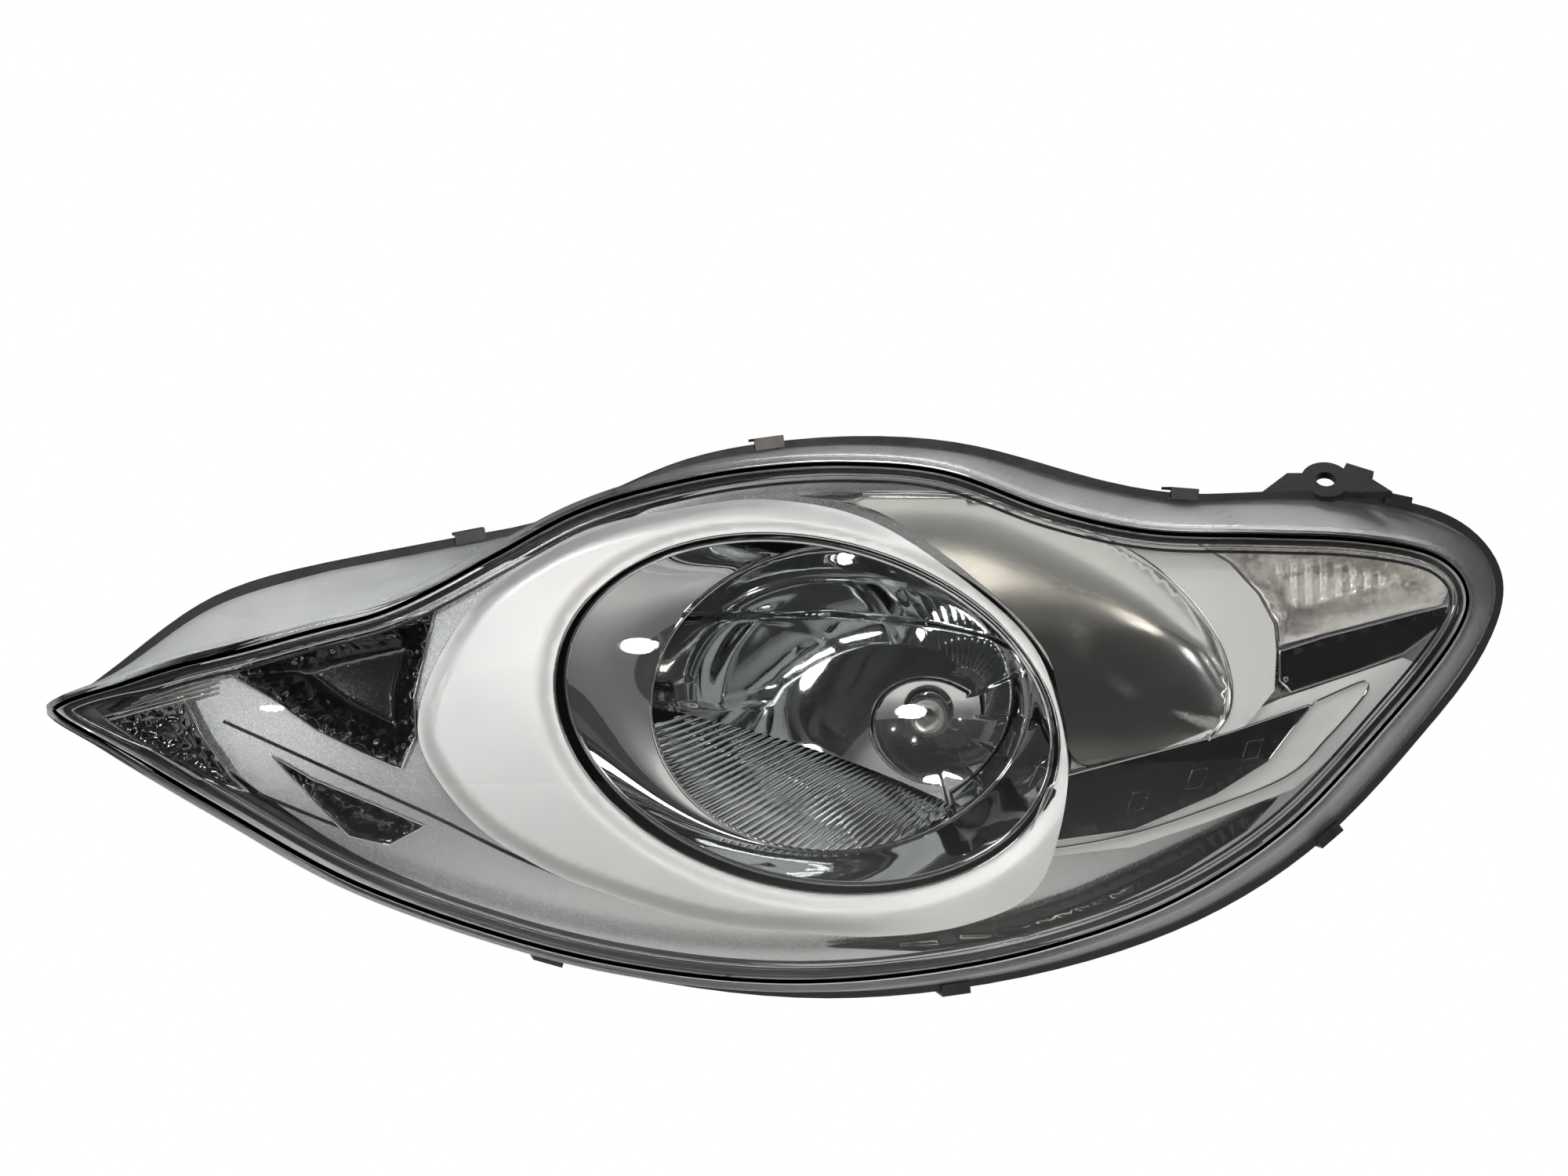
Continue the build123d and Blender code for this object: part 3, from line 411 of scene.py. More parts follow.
class Nodes:
    """A short way to write a node tree."""

    def __init__(self, name):
        self.mat = bpy.data.materials.new(name)
        self.mat.use_nodes = True
        self.tree = self.mat.node_tree
        self.tree.nodes.clear()
        self.out = self.add("ShaderNodeOutputMaterial")
        self.place = self.add("ShaderNodeTexCoord").outputs["Object"]

    def add(self, kind, **inputs):
        node = self.tree.nodes.new(kind)
        for key, value in inputs.items():
            if hasattr(node, key) and key not in node.inputs:
                setattr(node, key, value)
            else:
                self.put(node.inputs[key.replace("_", " ")], value)
        return node

    def put(self, socket, value):
        if isinstance(value, bpy.types.NodeSocket):
            self.tree.links.new(value, socket)
        else:
            socket.default_value = value

    def along(self, way, scale):
        """The object's coordinates turned so that way comes first, scaled apart by axis."""
        node = self.add("ShaderNodeMapping", vector_type="TEXTURE")
        self.put(node.inputs["Vector"], self.place)
        self.put(node.inputs["Rotation"], (0.0, -atan2(way[2], way[0]), 0.0))
        self.put(node.inputs["Scale"], tuple(1 / s for s in scale))
        return node.outputs["Vector"]

    def noise(self, scale, detail=4.0, rough=0.55, at=None):
        node = self.add("ShaderNodeTexNoise", Scale=scale, Detail=detail, Roughness=rough)
        self.put(node.inputs["Vector"], at or self.place)
        return node.outputs["Fac"]

    def range(self, value, low, high, start=0.3, end=0.7):
        """value from start..end spread to low..high."""
        node = self.add("ShaderNodeMapRange")
        for key, number in zip(
            ("Value", "From Min", "From Max", "To Min", "To Max"), (value, start, end, low, high)
        ):
            self.put(node.inputs[key], number)
        return node.outputs["Result"]

    def mix(self, factor, a, b):
        node = self.add("ShaderNodeMix", data_type="RGBA")
        self.put(node.inputs[0], factor)
        self.put(node.inputs[6], (*a, 1.0) if isinstance(a, tuple) else a)
        self.put(node.inputs[7], (*b, 1.0) if isinstance(b, tuple) else b)
        return node.outputs[2]

    def bump(self, height, strength, reach):
        node = self.add("ShaderNodeBump")
        self.put(node.inputs["Strength"], strength)
        self.put(node.inputs["Distance"], reach)
        self.put(node.inputs["Height"], height)
        return node.outputs["Normal"]

    def shader(self, **inputs):
        """The main shader, with plain words for its sockets."""
        node = self.add("ShaderNodeBsdfPrincipled")
        for key, value in inputs.items():
            if key == "colour":
                key = "Base Color"
                value = (*value, 1.0) if isinstance(value, tuple) else value
            self.put(node.inputs[key], value)
        return node

    def finish(self, surface):
        self.tree.links.new(surface, self.out.inputs["Surface"])
        return self.mat


def plain(name, light, dark, rough=(0.3, 0.5), metallic=0.0, grain=900.0, bump=0.15, cloud=25.0, **more):
    """Plastic, rubber or metal: clouded colour, uneven gloss and a fine grain."""
    n = Nodes(name)
    clouds = n.noise(cloud, 5.0)
    fine = n.noise(grain, 3.0)
    smears = n.noise(cloud * 3, 6.0, 0.7)
    shader = n.shader(
        colour=n.mix(n.range(clouds, 0.0, 1.0), light, dark),
        Metallic=metallic,
        Roughness=n.range(smears, *rough),
        Normal=n.bump(fine, bump, 0.0004),
        **more,
    )
    return n.finish(shader.outputs[0])


def chrome(name, tone, rough=(0.02, 0.09), ripple=0.12, cloud=14.0):
    """Vapour-metallised plastic: bright, with slow moulding ripple, haze and dust specks."""
    n = Nodes(name)
    haze = n.noise(cloud, 4.0)
    specks = n.noise(1500.0, 2.0)
    slow = n.noise(35.0, 2.0)
    shader = n.shader(
        colour=n.mix(n.range(haze, 0.0, 1.0), tone, tuple(0.86 * c for c in tone)),
        Metallic=1.0,
        Roughness=n.range(specks, rough[0], rough[1], 0.5, 0.8),
        Normal=n.bump(slow, ripple, 0.0006),
    )
    return n.finish(shader.outputs[0])


def painted_reflection_streaks(name, bright, dark):
    """A metallised panel with soft slanting streaks, bright and dark, painted into its colour as
    reflections.
    """
    n = Nodes(name)
    streaks = n.noise(1.0, 3.0, 0.6, n.along((1.0, 0.0, 0.32), (22.0, 60.0, 150.0)))
    patches = n.noise(26.0, 3.0)
    # the bright and dark patches and streaks in the colour are painted reflection
    clouded = n.mix(n.range(patches, 0.0, 1.0), bright, dark)
    shader = n.shader(
        colour=n.mix(n.range(streaks, 0.0, 1.0, 0.4, 0.6), bright, clouded),
        Metallic=0.55,
        Roughness=n.range(streaks, 0.12, 0.4),
        Normal=n.bump(streaks, 0.6, 0.002),
    )
    return n.finish(shader.outputs[0])


def clear(name, tint, rough, shadow_tint, milk_colour_painted_pale=None, ior=1.49):
    """Clear moulded plastic or glass, which lets the lights through to what is behind it."""
    n = Nodes(name)
    smears = n.noise(18.0, 5.0, 0.7)
    fine = n.noise(700.0, 3.0)
    colour = n.mix(n.range(smears, 0.0, 1.0), tint, tuple(0.97 * c for c in tint))
    shader = n.shader(
        colour=colour,
        IOR=ior,
        Roughness=n.range(smears, *rough),
        Normal=n.bump(fine, 0.02 if milk_colour_painted_pale is None else 0.3, 0.0002),
        **{"Transmission Weight": 1.0},
    )
    surface = shader.outputs[0]
    # Frosted milk with painted light: the milky white is painted strongly at the tip end of the lens and
    # fades to almost none across x.
    if milk_colour_painted_pale:
        milk_shader_painted_pale = n.shader(colour=milk_colour_painted_pale, Roughness=0.5)
        mixed = n.add("ShaderNodeMixShader")
        split = n.add("ShaderNodeSeparateXYZ")
        n.put(split.inputs[0], n.place)
        milk_painted_fade = n.add("ShaderNodeMath", operation="MULTIPLY")
        n.put(milk_painted_fade.inputs[0], n.range(n.noise(60.0, 3.0), 0.55, 0.8))
        n.put(milk_painted_fade.inputs[1], n.range(split.outputs[0], 1.0, 0.03, ORIGIN.x - 0.26, ORIGIN.x - 0.13))
        n.put(mixed.inputs[0], milk_painted_fade.outputs[0])
        n.put(mixed.inputs[1], surface)
        n.put(mixed.inputs[2], milk_shader_painted_pale.outputs[0])
        surface = mixed.outputs[0]
    through = n.add("ShaderNodeBsdfTransparent")
    through.inputs[0].default_value = (*shadow_tint, 1.0)
    shadow = n.add("ShaderNodeMixShader")
    n.put(shadow.inputs[0], n.add("ShaderNodeLightPath").outputs["Is Shadow Ray"])
    n.put(shadow.inputs[1], surface)
    n.put(shadow.inputs[2], through.outputs[0])
    return n.finish(shadow.outputs[0])


def satin(name, light, dark, rough=(0.36, 0.48), metallic=0.75):
    """Silver lacquer: fine flake under a soft coat."""
    n = Nodes(name)
    flake = n.noise(2600.0, 2.0, 0.8)
    clouds = n.noise(9.0, 3.0)
    shader = n.shader(
        colour=n.mix(n.range(clouds, 0.0, 1.0), light, dark),
        Metallic=metallic,
        Roughness=n.range(flake, *rough),
        Normal=n.bump(flake, 0.12, 0.0003),
        **{"Coat Weight": 0.25, "Coat Roughness": 0.25},
    )
    return n.finish(shader.outputs[0])


M = {
    "lens": clear("lens_clear", (1.0, 1.0, 1.0), (0.0, 0.004), (0.95, 0.96, 0.96), ior=1.38),
    "skirt": clear(
        "lens_frosted", (0.86, 0.88, 0.88), (0.25, 0.4), (0.7, 0.7, 0.7), milk_colour_painted_pale=(0.62, 0.64, 0.64)
    ),
    "silver": satin("silver_lacquer", (0.46, 0.46, 0.455), (0.4, 0.4, 0.4), (0.42, 0.52), 0.35),
    "bezel": satin("bezel_metallised", (0.66, 0.67, 0.67), (0.55, 0.56, 0.56), (0.16, 0.3), 0.95),
    "chrome": chrome("reflector_chrome", (0.80, 0.82, 0.815)),
    "warm": painted_reflection_streaks("corner_chrome", (0.66, 0.64, 0.61), (0.12, 0.115, 0.105)),
    "bright": chrome("bright_edge", (0.95, 0.95, 0.95), (0.02, 0.05), 0.03),
    "hazy": chrome("hazy_chrome", (0.78, 0.79, 0.76), (0.1, 0.16), 0.02),
    "dark": plain("dark_gloss", (0.008, 0.0085, 0.009), (0.004, 0.004, 0.0045), (0.05, 0.12), bump=0.02),
    "cell": chrome("cell_chrome", (0.2, 0.21, 0.215), (0.06, 0.14), 0.2),
    "housing": plain("housing_black", (0.009, 0.009, 0.0095), (0.005, 0.005, 0.005), (0.38, 0.6), bump=0.3),
    "sealant": plain("sealant_grey", (0.10, 0.10, 0.10), (0.06, 0.06, 0.06), (0.5, 0.7), bump=0.4),
    "spring": plain("spring_steel", (0.07, 0.07, 0.072), (0.045, 0.045, 0.045), (0.25, 0.4), 0.9, bump=0.1),
    "motor": plain("motor_plastic", (0.05, 0.05, 0.052), (0.03, 0.03, 0.03), (0.35, 0.5), bump=0.35),
    "brass": plain("terminal_brass", (0.72, 0.52, 0.24), (0.58, 0.4, 0.17), (0.2, 0.35), 1.0, bump=0.1),
    "rubber": plain("cap_rubber", (0.02, 0.02, 0.02), (0.012, 0.012, 0.012), (0.6, 0.8), bump=0.6),
    "nylon": plain("white_nylon", (0.72, 0.71, 0.67), (0.62, 0.61, 0.57), (0.3, 0.45), bump=0.2),
    "steel": plain("bulb_metal", (0.7, 0.7, 0.69), (0.56, 0.56, 0.55), (0.12, 0.28), 1.0, bump=0.06),
    "glass": clear("bulb_glass", (0.98, 0.98, 0.98), (0.0, 0.01), (0.9, 0.9, 0.9), ior=1.46),
    "amber": clear("amber_glass", (0.95, 0.42, 0.08), (0.0, 0.02), (0.9, 0.5, 0.2), ior=1.46),
    "cap": plain("cap_plastic", (0.035, 0.035, 0.036), (0.022, 0.022, 0.022), (0.32, 0.5), bump=0.4),
    "holder": plain("holder_plastic", (0.45, 0.45, 0.43), (0.36, 0.36, 0.34), (0.35, 0.5), bump=0.3),
}

NODE_FINISH = {
    "rear_housing": "housing",
    "lens_seal": "sealant",
    "lens_clips": "spring",
    "pivot_post": "housing",
    "levelling_motor": "motor",
    "motor_pins": "brass",
    "side_gearcase": "motor",
    "mechanism_screws": "steel",
    "main_socket": "motor",
    "socket_pins": "brass",
    "vent_cap": "rubber",
    "pivot_cup": "nylon",
    "ball_cups": "nylon",
    "bulb_seat": "steel",
    "bulb_base": "steel",
    "bulb_glass": "glass",
    "bulb_contacts": "brass",
    "bulb_clip": "spring",
    "bulb_plug": "motor",
    "motor_stem": "nylon",
    "side_stem": "nylon",
    "height_wheel": "holder",
    "side_wheel": "holder",
    "dust_cap": "cap",
    "cap_gasket": "rubber",
    "indicator_holder": "holder",
    "indicator_contacts": "brass",
    "indicator_base": "steel",
    "indicator_bulb": "amber",
    "position_holder": "holder",
    "position_contacts": "brass",
    "position_bulb": "glass",
}
for node, finish in NODE_FINISH.items():
    NODES[node].data.materials.clear()
    NODES[node].data.materials.append(M[finish])
    for face in NODES[node].data.polygons:
        face.material_index = 0


# ---------------------------------------------------------------- lens


def on_seam(loop, forward=0.0):
    """Points of a swept outline, that far forward of the seam plane, in x, y, z."""
    x, z = loop[:, 0] * cos(SEAM_SWEEP), loop[:, 1]
    y = SEAM_Y + x * tan(SEAM_SWEEP) - forward
    return np.stack([x, y, z], axis=1)


def ridge_line():
    """Foot of the lens, and the line where its skirt meets its front."""
    foot = on_seam(shrink(curve_through(RIM), FOOT_INSET))
    shoulder = on_seam(curve_through(SHOULDER), LENS_FORWARD)
    low, high = np.full(len(foot), 0.2), np.full(len(foot), 2.6)
    for _ in range(40):
        middle = (low + high) / 2
        at = foot + (shoulder - foot) * middle[:, None]
        behind = at[:, 1] > front_y(at[:, 0], at[:, 2])
        low, high = np.where(behind, middle, low), np.where(behind, high, middle)
    return foot, foot + (shoulder - foot) * middle[:, None]


FOOT, RIDGE = ridge_line()
RIDGE_ROUND = 2.4
TIP_MIDDLE = (-290, 8)  # the tip's rounding turns about this point
SKIRT_ROWS = 7
RIB_DEPTH = 6.5
# the dark finish on the border ribs is painted shadow along the rim of the lens
BORDER_RIBS = ((4.5, 1.3, "dark"), (7.0, 0.5, "bright"), (9.0, 0.7, "dark"))  # inset, radius, finish


def ridge_inset(amount):
    """The ridge moved inwards along the front; at the tip, towards the middle of the tip."""
    flat = RIDGE[:, [0, 2]]
    way = shrink(flat, 1.0) - flat
    to_middle = np.array(TIP_MIDDLE) - flat
    to_middle /= np.linalg.norm(to_middle, axis=1)[:, None]
    near_tip = (1 - smoothstep(-335, -300, flat[:, 0]))[:, None]
    way = way * (1 - near_tip) + to_middle * near_tip
    return flat + amount * way / np.linalg.norm(way, axis=1)[:, None]


def make_lens():
    """One moulding: the skirt, a rounded ridge and the clear front."""
    along = RIDGE - FOOT
    start = RIDGE - RIDGE_ROUND * along / np.linalg.norm(along, axis=1)[:, None]
    inner = ridge_inset(RIDGE_ROUND)
    top = on_front(inner, 0)
    rows = [FOOT + (start - FOOT) * s for s in np.linspace(0, 1, SKIRT_ROWS)]
    rows += [(1 - t) ** 2 * start + 2 * t * (1 - t) * RIDGE + t * t * top for t in (0.2, 0.4, 0.6, 0.8)]
    count = len(FOOT)
    flat, tris = fill(inner, 7.0)
    points = np.vstack([*rows, on_front(flat, 0)])
    last = (len(rows) - 1) * count
    faces = grid_faces(len(rows), count, True)
    for i in range(count):
        k = (i + 1) % count
        faces.append((last + i, last + k, last + count + k, last + count + i))
    faces += [tuple(f + len(rows) * count) for f in tris]
    skirt_faces = (SKIRT_ROWS - 1) * count
    kinds = [1] * skirt_faces + [0] * (len(faces) - skirt_faces)
    normals = vertex_normals(points, faces)
    normals *= -np.sign(normals[:, 1].sum())
    normals[last + count :] = surface_normals(flat, lambda p: front_y(p[:, 0], p[:, 1]))
    normals[last : last + count] = surface_normals(inner, lambda p: front_y(p[:, 0], p[:, 1]))
    closed_sheet(
        "front_lens_moulding",
        points,
        faces,
        LENS_WALL,
        [M["lens"], M["skirt"]],
        normals=normals,
        replaces=["front_lens"],
        slot="clear_lens",
        face_mats=kinds,
    )
    # fine ribs inside the border of the front: the dark ones are painted shadow along the rim, the bright
    # one is chrome
    for amount, radius, finish in BORDER_RIBS:
        line = on_front(ridge_inset(amount), RIB_DEPTH)
        tube(f"border_rib_{amount:.0f}", line, radius, M[finish], slot="clear_lens")


make_lens()


# ---------------------------------------------------------------- main bowl


def paraboloid(r):
    return VERTEX_Y - r * r / (4 * FOCAL_LENGTH)


def ring_y(x):
    return RING_Y + tan(RING_SWEEP) * (x - RING_CENTRE[0])


def mouth_y(x):
    return MOUTH_Y + tan(MOUTH_SWEEP) * (x - MOUTH_CENTRE[0])


def ray_to_ring(start, way):
    """How far along a ray the far side of the ring is."""
    sx, sz = (start[0] - RING_CENTRE[0]) / RING_RADII[0], (start[1] - RING_CENTRE[1]) / RING_RADII[1]
    wx, wz = way[0] / RING_RADII[0], way[1] / RING_RADII[1]
    a, b, c = wx * wx + wz * wz, 2 * (sx * wx + sz * wz), sx * sx + sz * sz - 1
    return (-b + np.sqrt(np.maximum(b * b - 4 * a * c, 0))) / (2 * a)


LEDGE_Z, LEDGE_SLOPE = -35.5, -0.415  # the line above the flutes: z = LEDGE_Z + LEDGE_SLOPE * x
FLUTE_CENTRE = (178, 93)  # the flutes fan out from here
FLUTE_RANGE = (radians(196.5), radians(223.5))
FLUTE_COUNT, FLUTE_DEPTH = 48, 1.0


def make_bowl():
    turns, rows = 360, 64
    angle = -np.arange(turns) * 2 * pi / turns
    way = np.stack([np.cos(angle), np.sin(angle)])
    reach = ray_to_ring((0, 0), way)
    drop = way[1] - LEDGE_SLOPE * way[0]
    with np.errstate(divide="ignore"):
        ledge = np.where(drop < 0, LEDGE_Z / drop, 1e6)
    stop = np.minimum(reach, ledge)
    points = []
    for s in np.linspace(0, 1, rows):
        r = HOLE_RADIUS + (stop - HOLE_RADIUS) * s
        x, z = r * way[0], r * way[1]
        y = paraboloid(r)
        # the ring stands a little forward of the bowl
        y = np.where(ledge > reach, y + (ring_y(x) - paraboloid(reach)) * smoothstep(0.75, 1.0, s), y)
        # the step across the top of the bowl
        line = np.interp(x, (-118, -43, 5, 28, 48), (51, 50, 44, 39, 30))
        y = y - 1.6 * smoothstep(-1.2, 1.2, z - line)
        # flat facets at the lower right
        turn = np.degrees(np.arctan2(z, x))
        saw = np.mod(turn + 75, 26) / 26
        saw = np.where(saw < 0.86, saw / 0.86, (1 - saw) / 0.14) - 0.5
        fade = smoothstep(-80, -72, turn) * (1 - smoothstep(28, 36, turn)) * smoothstep(18, 46, r)
        y = y + 1.7 * saw * fade
        points.append(np.stack([x, y, z], axis=1))
    bowl_points = np.vstack(points)
    faces = grid_faces(rows, turns, True)

    # the fluted floor, between the ledge and the ring
    across, along = FLUTE_COUNT * 10 + 1, 12
    fan = np.linspace(*FLUTE_RANGE, across)
    way = np.stack([np.cos(fan), np.sin(fan)])
    near = (LEDGE_Z + LEDGE_SLOPE * FLUTE_CENTRE[0] - FLUTE_CENTRE[1]) / (way[1] - LEDGE_SLOPE * way[0])
    far = ray_to_ring(FLUTE_CENTRE, way)
    far = np.maximum(far, near + 0.5)
    wave = np.abs(np.sin((fan - FLUTE_RANGE[0]) / (FLUTE_RANGE[1] - FLUTE_RANGE[0]) * FLUTE_COUNT * pi))
    rows_out = []
    for s in np.linspace(0, 1, along):
        d = near + (far - near) * s
        x, z = FLUTE_CENTRE[0] + d * way[0], FLUTE_CENTRE[1] + d * way[1]
        nx, nz = FLUTE_CENTRE[0] + near * way[0], FLUTE_CENTRE[1] + near * way[1]
        fx = FLUTE_CENTRE[0] + far * way[0]
        y = paraboloid(np.hypot(nx, nz)) * (1 - s) + ring_y(fx) * s
        y -= FLUTE_DEPTH * wave * np.sin(pi * (0.1 + 0.8 * s))
        rows_out.append(np.stack([x, y, z], axis=1))
    floor_points = np.vstack(rows_out)
    faces += [tuple(i + len(bowl_points) for i in f) for f in grid_faces(along, across, False)]

    closed_sheet(
        "main_bowl",
        np.vstack([bowl_points, floor_points]),
        faces,
        BOWL_WALL,
        M["chrome"],
        body="reflector",
        replaces=["main_reflector"],
        slot="reflector_coat",
    )

    # collar from the ring to the mouth
    ring = ellipse(RING_CENTRE, RING_RADII)
    mouth = ellipse(MOUTH_CENTRE, MOUTH_RADII, MOUTH_TILT)
    inner = np.stack([ring[:, 0], ring_y(ring[:, 0]), ring[:, 1]], axis=1)
    outer = np.stack([mouth[:, 0], mouth_y(mouth[:, 0]), mouth[:, 1]], axis=1)
    rows_out = []
    for s in np.linspace(0, 1, 16):
        bow = 0.10 * sin(pi * s)
        level = inner + (outer - inner) * s
        level[:, 1] = inner[:, 1] + (outer[:, 1] - inner[:, 1]) * (s - bow)
        rows_out.append(level)
    closed_sheet(
        "bowl_collar",
        np.vstack(rows_out),
        grid_faces(16, len(ring), True),
        BOWL_WALL,
        M["chrome"],
        body="reflector",
        slot="reflector_coat",
    )
    tube("ring_edge", inner, 0.9, M["bright"], body="reflector", slot="reflector_coat")
    tube("mouth_edge", outer, 1.1, M["bright"], body="reflector", slot="reflector_coat")


make_bowl()


# ---------------------------------------------------------------- crescent and side bowl

GAP = 3.4  # between the crescent's lip and the collar


def make_crescent():
    outer = curve_through(CRESCENT)
    hole = ellipse(MOUTH_CENTRE, MOUTH_RADII, MOUTH_TILT, grow=GAP)

    def depth(points):
        from_edge, from_hole = distance(points, outer), distance(points, hole)
        left = 1 - smoothstep(-60, 10, points[:, 0])
        edge = 5.0 * (1 - smoothstep(0, 9, from_edge)) * left
        lip = 3.0 * (1 - smoothstep(0, 10, from_hole)) ** 2
        return 11 + edge + lip

    sheet(
        "silver_crescent",
        outer,
        depth,
        M["silver"],
        wall=2.0,
        step=2.6,
        holes=[hole],
        replaces=["crescent_trim"],
        slot="satin_silver",
    )
    # A dark sheet turned back from the crescent's hole: painted shadow in the gap between the crescent and
    # the collar.
    flare = ellipse(MOUTH_CENTRE, MOUTH_RADII, MOUTH_TILT, grow=GAP + 3)
    lip = np.vstack([on_front(hole, 14.0), on_front(flare, 19.5)])
    faces = grid_faces(2, len(hole), True)
    closed_sheet("crescent_gap_painted_shadow", lip, faces, 1.0, M["dark"], slot="satin_silver")
    edge = ellipse(MOUTH_CENTRE, MOUTH_RADII, MOUTH_TILT, grow=GAP - 0.5)
    tube("crescent_lip", on_front(edge, 14.4), 0.6, M["bright"], slot="satin_silver")


def make_side_bowl():
    outer = curve_through(SIDE_BOWL)
    rim = curve_through(SIDE_BOWL[:8], closed=False)

    def depth(points):
        d = distance(points, rim, closed=False)
        low = 1 - smoothstep(-10, 48, points[:, 1])
        high = smoothstep(50, 115, points[:, 1])
        return 16.5 + 16 * (1 - np.exp(-d / 12)) * (1 - 0.85 * low - 0.4 * high)

    sheet(
        "side_bowl",
        outer,
        depth,
        M["hazy"],
        wall=1.5,
        step=3.5,
        replaces=["side_reflector"],
        slot="reflector_coat",
    )
    band = straight_through(SIDE_BAND, 4.0)
    sheet("side_band", band, 14, M["silver"], wall=2.0, step=4.0, slot="satin_silver")
    tube("side_bowl_edge", on_front(rim, 13.8), 0.9, M["bright"], closed=False, slot="satin_silver")


make_crescent()
make_side_bowl()


# ---------------------------------------------------------------- bezel and cells

BEZEL_DEPTH, BEZEL_GAP = 24, 9  # behind the lens surface; from the collar
BLOCK = 4.5  # width of the blocks moulded round a cell
REED = 7  # width of the reeds across the corner cell
TIP_RIBS, TIP_RIB_STEP = 5, (3, 2.1)


def make_bezel():
    outer = curve_through(BEZEL)
    mouth = ellipse(MOUTH_CENTRE, MOUTH_RADII, MOUTH_TILT, grow=BEZEL_GAP, count=120)
    holes = [mouth, curve_through(SIDE_BOWL)]
    cells = [straight_through(c, 5.0) for c in (INDICATOR_CELL, LOWER_SLOT, CORNER_CELL)]
    sheet(
        "silver_bezel",
        outer,
        BEZEL_DEPTH,
        M["bezel"],
        wall=2.0,
        step=6.0,
        holes=holes + cells,
        replaces=["main_bezel"],
        slot="silver_bezel",
    )


def cell(name, outline, rim, deep, mat, replaces, slot, *, run=14.0, step=3.0, edge="bright", **relief):
    """A sunken panel, with blocks moulded round its border or reeds across it."""
    loop = straight_through(outline, 3.0)
    blocks, reeds = relief.get("blocks", 0.0), relief.get("reeds", 0.0)

    def depth(points):
        x, z = points[:, 0], points[:, 1]
        d = distance(points, loop)
        odd = (np.floor(x / BLOCK) + np.floor((z + 0.3 * x) / BLOCK)) % 2 > 0
        border = smoothstep(1, 2, d) * (1 - smoothstep(8, 9, d))
        chequer = blocks * np.where(odd, 1.0, -1.0) * border
        reeded = reeds * np.abs(np.sin(x * pi / REED)) * smoothstep(1, 5, d)
        return rim + deep * smoothstep(0, run, d) + chequer + reeded

    sheet(name, loop, depth, mat, wall=1.5, step=step, replaces=replaces, slot=slot)
    tube(name + "_edge", on_front(loop, rim - 0.3), 0.55, M[edge], slot=slot)


def make_cells():
    coat = "reflector_coat"
    fine = {"run": 6.0, "step": 1.8}
    indicator, corner = ["indicator_reflector"], ["corner_reflector"]
    cell("indicator_bowl", INDICATOR_CELL, 20, 22, M["cell"], indicator, coat, blocks=1.0, step=1.8)
    cell("corner_bowl", CORNER_CELL, 20, 18, M["warm"], corner, coat, reeds=3.0, step=2.0)
    cell("dark_strip", CORNER_STRIP, 18, 2, M["dark"], ["corner_strip"], "dark_gloss", run=3.0)
    cell("tip_panel", TIP_CELL, 11, 3, M["cell"], ["marker_reflector"], "silver_bezel", blocks=0.5, **fine)
    cell("lower_slot", LOWER_SLOT, 23, 10, M["cell"], [], "dark_gloss", blocks=1.0, **fine)
    cell("dark_sweep", DARK_SWEEP, 21, 1.5, M["dark"], [], "dark_gloss", run=5.0, edge="dark")
    clear_of_collar = ellipse(MOUTH_CENTRE, MOUTH_RADII, MOUTH_TILT, grow=GAP + 3)
    sheet(
        "wing_frame",
        straight_through(WING_FRAME, 4.0),
        17,
        M["silver"],
        wall=2.0,
        step=4.0,
        holes=[clear_of_collar],
        slot="satin_silver",
    )
    cell("wing", WING, 14.5, -1.0, M["dark"], ["wing_trim"], "dark_gloss", run=3.0)
    line = curve_through(WING_LINE, closed=False)
    tube("wing_line", on_front(line, 15.5), 0.8, M["bright"], closed=False, slot="satin_silver")
    for k, (x, z) in enumerate(WING_CHIPS):
        chip = straight_through([(x - 4, z - 4), (x - 1, z + 4), (x + 6, z + 5), (x + 3, z - 3)], 2.0)
        tube(f"wing_chip_{k}", on_front(chip, 13.4), 0.3, M["cell"], slot="dark_gloss")
    for k in range(TIP_RIBS):
        start = np.array((-334 + TIP_RIB_STEP[0] * k, 11.5 + TIP_RIB_STEP[1] * k))
        end = np.array((-292, 23 + TIP_RIB_STEP[1] * k))
        rib = start + (end - start) * np.linspace(0, 1, 12)[:, None]
        tube(f"tip_rib_{k}", on_front(rib, 10 + k), 0.6, M["hazy"], closed=False, slot="silver_bezel")
    # dark beads along the folds: painted shade in the creases of the bezel
    for k, crease in enumerate(CREASES):
        fold = on_front(curve_through(crease, closed=False), BEZEL_DEPTH - 0.6)
        tube(f"bezel_crease_painted_shade_{k}", fold, 0.7, M["dark"], closed=False, slot="silver_bezel")


make_bezel()
make_cells()


# ---------------------------------------------------------------- stage, lights and camera

LOOK_AT = Vector((-62, -82, 63)) * MM + ORIGIN
AZIMUTH, ELEVATION, DISTANCE = radians(4), radians(2), 1.2
SENSOR, LENS = 36, 62.1
FLOOR_DROP, FLOOR_REACH = 0.35, 6.0  # metres below the headlight, and out to each side
FLOOR_GLOW = 0.16


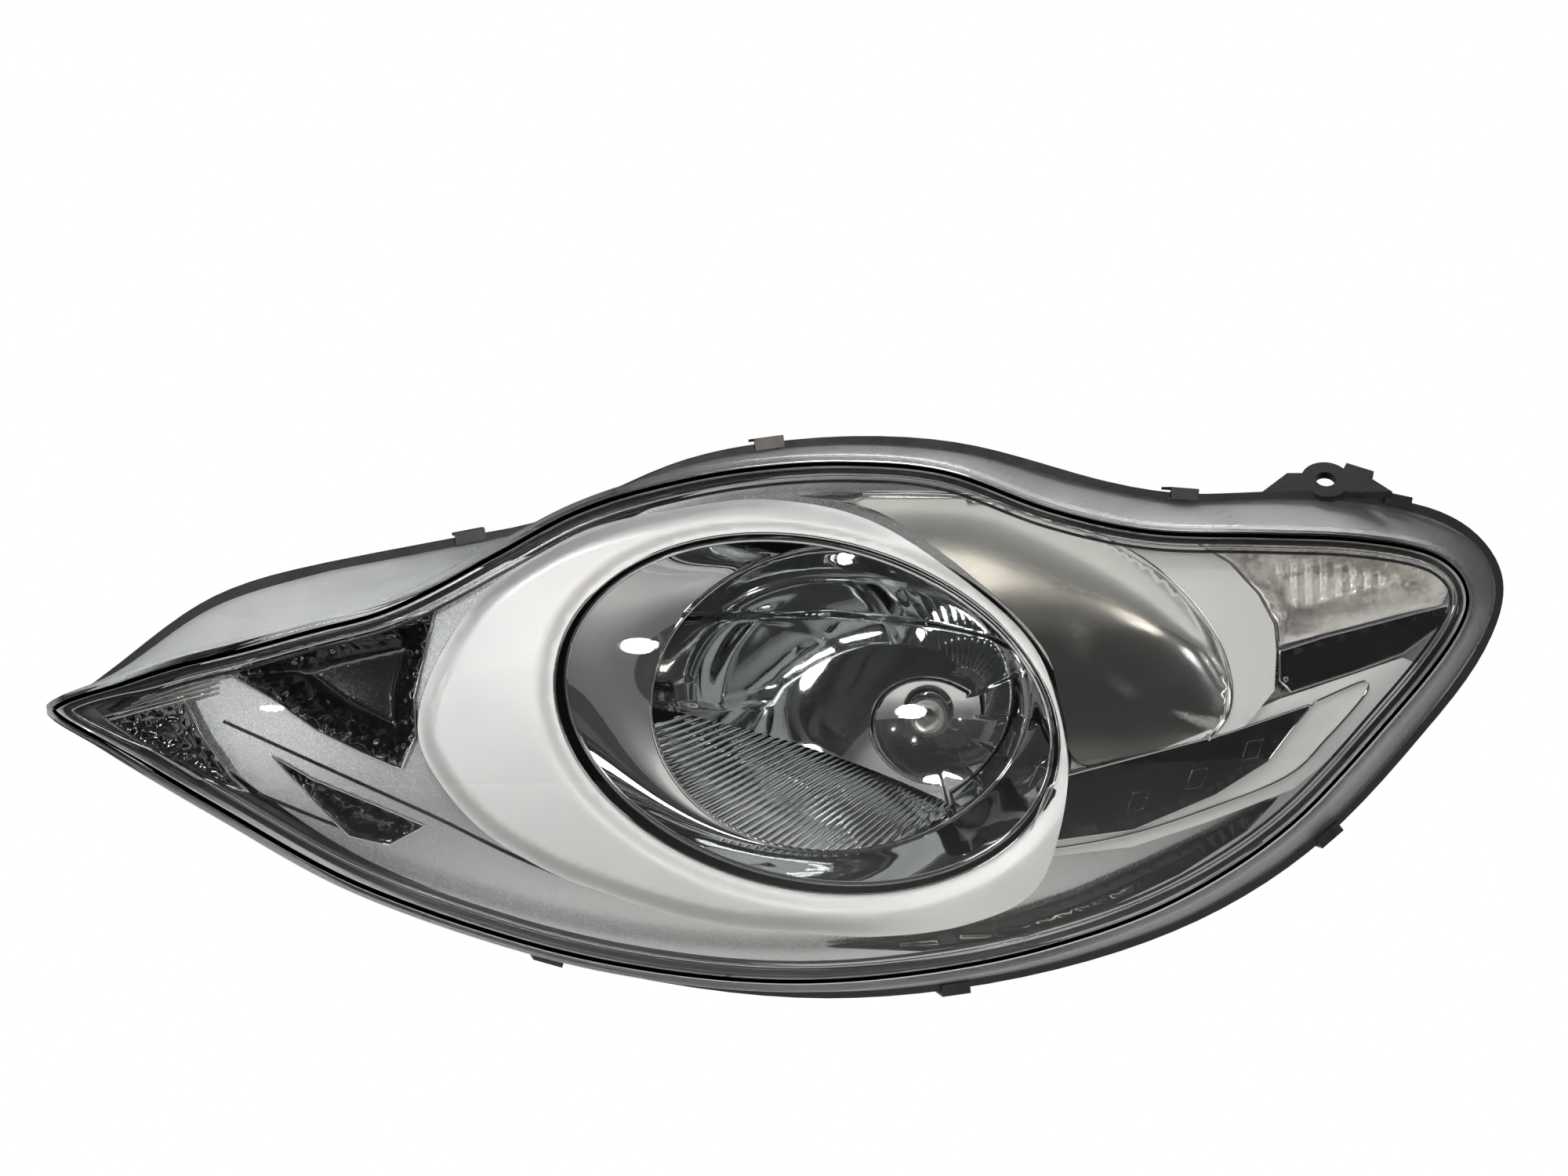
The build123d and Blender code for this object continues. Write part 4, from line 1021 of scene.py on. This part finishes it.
def make_stage():
    floor_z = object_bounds()[0][2] - FLOOR_DROP
    mesh = bpy.data.meshes.new("floor")
    corners = [(-1, -1), (1, -1), (1, 1), (-1, 1)]
    corners = [(x * FLOOR_REACH, y * FLOOR_REACH, floor_z) for x, y in corners]
    mesh.from_pydata(corners, [], [(0, 1, 2, 3)])
    floor = bpy.data.objects.new("floor", mesh)
    bpy.context.scene.collection.objects.link(floor)
    n = Nodes("floor_white")
    shader = n.shader(colour=n.mix(n.noise(2.0), (0.7, 0.7, 0.69), (0.66, 0.66, 0.65)), Roughness=0.8)
    shader.inputs["Emission Color"].default_value = (1, 1, 0.97, 1)
    shader.inputs["Emission Strength"].default_value = FLOOR_GLOW
    white = n.add("ShaderNodeEmission", Strength=1.0)
    seen = n.add("ShaderNodeMixShader")
    n.put(seen.inputs[0], n.add("ShaderNodeLightPath").outputs["Is Camera Ray"])
    n.put(seen.inputs[1], shader.outputs[0])
    n.put(seen.inputs[2], white.outputs[0])
    mesh.materials.append(n.finish(seen.outputs[0]))


def make_world():
    """White behind the object; a dim room, a little lighter below, for everything else."""
    world = bpy.data.worlds.new("studio")
    bpy.context.scene.world = world
    world.use_nodes = True
    tree = world.node_tree
    tree.nodes.clear()
    new, link = tree.nodes.new, tree.links.new
    split = new("ShaderNodeSeparateXYZ")
    link(new("ShaderNodeTexCoord").outputs["Generated"], split.inputs[0])
    ramp = new("ShaderNodeValToRGB")
    stops = ramp.color_ramp.elements
    stops[0].position, stops[0].color = 0.0, (0.07, 0.07, 0.068, 1)
    stops[1].position, stops[1].color = 1.0, (0.03, 0.031, 0.032, 1)
    middle = stops.new(0.35)
    middle.color = (0.035, 0.036, 0.036, 1)
    link(split.outputs[2], ramp.inputs[0])
    room, backdrop = new("ShaderNodeBackground"), new("ShaderNodeBackground")
    link(ramp.outputs[0], room.inputs[0])
    backdrop.inputs[0].default_value = (1, 1, 1, 1)
    mix = new("ShaderNodeMixShader")
    link(new("ShaderNodeLightPath").outputs["Is Camera Ray"], mix.inputs[0])
    link(room.outputs[0], mix.inputs[1])
    link(backdrop.outputs[0], mix.inputs[2])
    link(mix.outputs[0], new("ShaderNodeOutputWorld").inputs[0])


def lamp(name, at, size, power, aim=(-0.06, -0.08, 0.0), colour=(1, 1, 1)):
    """A soft light of that size, at a place in metres from the bulb's seat, turned to the headlight."""
    light = bpy.data.lights.new(name, "AREA")
    light.shape, light.size, light.size_y = "ELLIPSE", size[0], size[1]
    light.energy, light.color = power, colour
    obj = bpy.data.objects.new(name, light)
    obj.location = Vector(at) + ORIGIN
    obj.rotation_euler = (Vector(aim) - Vector(at)).to_track_quat("-Z", "Y").to_euler()
    bpy.context.scene.collection.objects.link(obj)


def make_lights():
    lamp("top_box", (-0.3, -1.3, 1.3), (0.7, 0.25), 12)
    lamp("left_box", (-1.6, -0.9, 0.6), (0.3, 0.7), 5)
    lamp("right_box", (1.9, -0.4, 1.0), (0.35, 0.8), 5)
    lamp("spark_a", (0.25, -1.4, 0.35), (0.05, 0.05), 3)
    lamp("spark_b", (-0.3, -1.5, 0.15), (0.035, 0.015), 1.4)
    lamp("spark_c", (0.6, -1.2, 0.1), (0.04, 0.04), 2, colour=(1.0, 0.9, 0.8))
    lamp("spark_d", (-0.7, -1.3, -0.1), (0.03, 0.03), 1, colour=(1.0, 0.88, 0.78))
    lamp("back_box", (0.3, 0.8, 1.9), (1.2, 0.5), 10, aim=(-0.06, 0.0, 0.0))


def make_camera():
    way = Vector((-sin(AZIMUTH) * cos(ELEVATION), cos(AZIMUTH) * cos(ELEVATION), -sin(ELEVATION)))
    camera = bpy.data.objects.new("camera", bpy.data.cameras.new("camera"))
    camera.data.sensor_width, camera.data.lens = SENSOR, LENS
    camera.location = LOOK_AT - way * DISTANCE
    camera.rotation_euler = way.to_track_quat("-Z", "Y").to_euler()
    bpy.context.scene.collection.objects.link(camera)
    bpy.context.scene.camera = camera


bpy.context.scene.view_settings.view_transform = "Standard"
make_stage()
make_world()
make_lights()
make_camera()

note_size()
